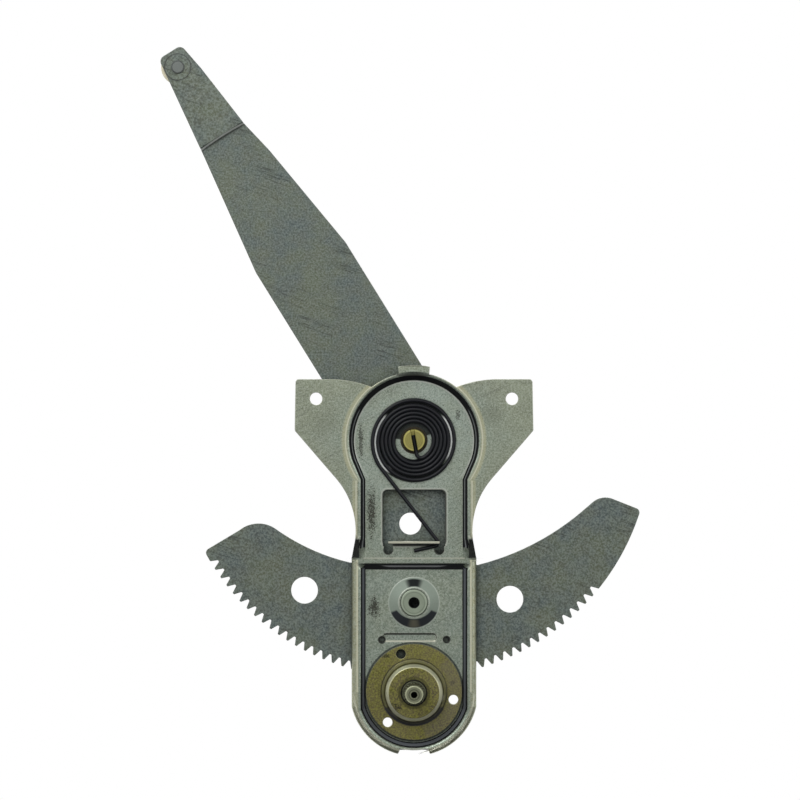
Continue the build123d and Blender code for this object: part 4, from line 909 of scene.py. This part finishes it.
# %% [markdown]
# ## Counterbalance spring
# The spring is round wire wound flat: a hook through the pin's slot, close turns that
# open towards the outside, a straight leg, and a bend round the housing's tab. Its line
# is stepped out turn by turn, and a round section is carried along it.
# %% Wire route
wire_low, wire_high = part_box("counterbalance_spring")
wire_radius = (wire_high.y - wire_low.y) / 2
wire_y = (wire_high.y + wire_low.y) / 2
coil_inner, coil_outer = 12.6 * mm, 27.8 * mm
hook_angle, hook_bend, hook_length = math.radians(-79.6), 3.0 * mm, 3.4 * mm
close_arcs, open_arcs = 9, 2
turn_gap = 0.1 * mm
tab_corner = Vector((13.2 * mm, 97.2 * mm - pivot.z))
tab_bend, tail_heading, tail_length = 2.3 * mm, math.radians(192.8), 14.0 * mm


def toward(angle):
    """The direction at an angle in the coil's plane."""
    return Vector((math.cos(angle), math.sin(angle)))


lean = math.asin(hook_bend / (coil_inner - hook_bend))
coil_start = hook_angle + lean
reach = tab_corner.length
leg_heading = math.atan2(tab_corner.y, tab_corner.x) + math.asin((coil_outer + tab_bend) / reach)
last_arc = (leg_heading - math.pi / 2 - coil_start) % math.pi
close_growth = (2 * wire_radius + turn_gap) / 2
open_growth = (coil_outer - coil_inner - close_growth * (close_arcs - 1)) / (open_arcs + 1)

# Each leg of the route is a radius and an angle, or no radius and a length.
route = [(0, hook_length + (coil_inner - hook_bend) * math.cos(lean)),
         (hook_bend, coil_start + math.pi / 2 - hook_angle)]
radius = coil_inner
for arc in range(close_arcs + open_arcs):
    route.append((radius, math.pi))
    radius += close_growth if arc < close_arcs - 1 else open_growth
route.append((radius, last_arc))
coil_first = 2
leg_end = tab_corner + tab_bend * toward(leg_heading + math.pi / 2)

step = math.radians(5)
spot = Vector((-hook_length * math.cos(hook_angle), -hook_length * math.sin(hook_angle)))
heading = hook_angle
line, winds = [spot.copy()], [1.0]
for index, (radius, amount) in enumerate(route):
    steps = max(1, round(amount / step)) if radius else 6
    for _ in range(steps):
        if radius:
            heading += amount / steps / 2
            spot = spot + 2 * radius * math.sin(amount / steps / 2) * toward(heading)
            heading += amount / steps / 2
        else:
            spot = spot + amount / steps * toward(heading)
        line.append(spot.copy())
        winds.append(1.0 if index < coil_first else 0.0)
print("wire", round(wire_radius * 2 / mm, 2), "mm, coil ends", [round(x / mm, 2) for x in line[-1]])

# %% [markdown]
# From the coil the wire runs straight to the housing's tab, bends round it and ends in a
# tail. This end stays with the housing, while the hook at the other end turns.
# %% Leg, bend and tail
leg = leg_end - spot
leg_steps = 12
for share in range(1, leg_steps + 1):
    line.append(spot + leg * share / leg_steps)
spot, heading = leg_end, math.atan2(leg.y, leg.x)
tab_turn = tail_heading - math.tau - heading
tab_steps = round(abs(tab_turn) / math.radians(8))
for _ in range(tab_steps):
    heading += tab_turn / tab_steps / 2
    spot = spot + 2 * tab_bend * math.sin(abs(tab_turn) / tab_steps / 2) * toward(heading)
    heading += tab_turn / tab_steps / 2
    line.append(spot.copy())
line.append(spot + tail_length * toward(heading))

# The inner hook turns with the sector and the leg stays with the housing; the coil
# between them shares the turn evenly along its length.
hook_points = len([w for w in winds if w == 1.0])
coil_points = len(winds) - hook_points
winds = [1.0] * hook_points + [1 - share / coil_points for share in range(1, coil_points + 1)]
winds += [0.0] * (len(line) - len(winds))
print("line points", len(line), "tail ends", [round(x / mm, 1) for x in line[-1]])

# %% [markdown]
# A curve with a bevel depth carries the round section along the line. It becomes a mesh
# before it is blended, because each ring of vertices then gets its own share of the turn.
# %% Round wire
curve = bpy.data.curves.new("spring_line", "CURVE")
curve.dimensions = "3D"
spline = curve.splines.new("POLY")
spline.points.add(len(line) - 1)
for point, place in zip(spline.points, line):
    point.co = (pivot.x + place.x, wire_y, pivot.z + place.y, 1)
curve.bevel_depth = wire_radius
curve.bevel_resolution = 4
curve.use_fill_caps = True
spring = bpy.data.objects.new("wound_counterbalance_spring", curve)
bpy.context.scene.collection.objects.link(spring)
select_only(spring)
bpy.ops.object.convert(target="MESH")
spring = bpy.context.object
ring_size = len(spring.data.vertices) // len(line)
bpy.ops.object.shade_smooth_by_angle(angle=math.radians(50))
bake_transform(spring, "housing", "sector", start=pivot, end=pivot + Vector((0, 0, coil_inner)))
weights = spring.data.attributes["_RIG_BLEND"]
for vertex in spring.data.vertices:
    weights.data[vertex.index].value = winds[min(vertex.index // ring_size, len(line) - 1)]
spring.data.materials.clear()
spring.data.materials.append(spring_steel)
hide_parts("counterbalance_spring")
print("spring", len(spring.data.vertices), "vertices in rings of", ring_size)
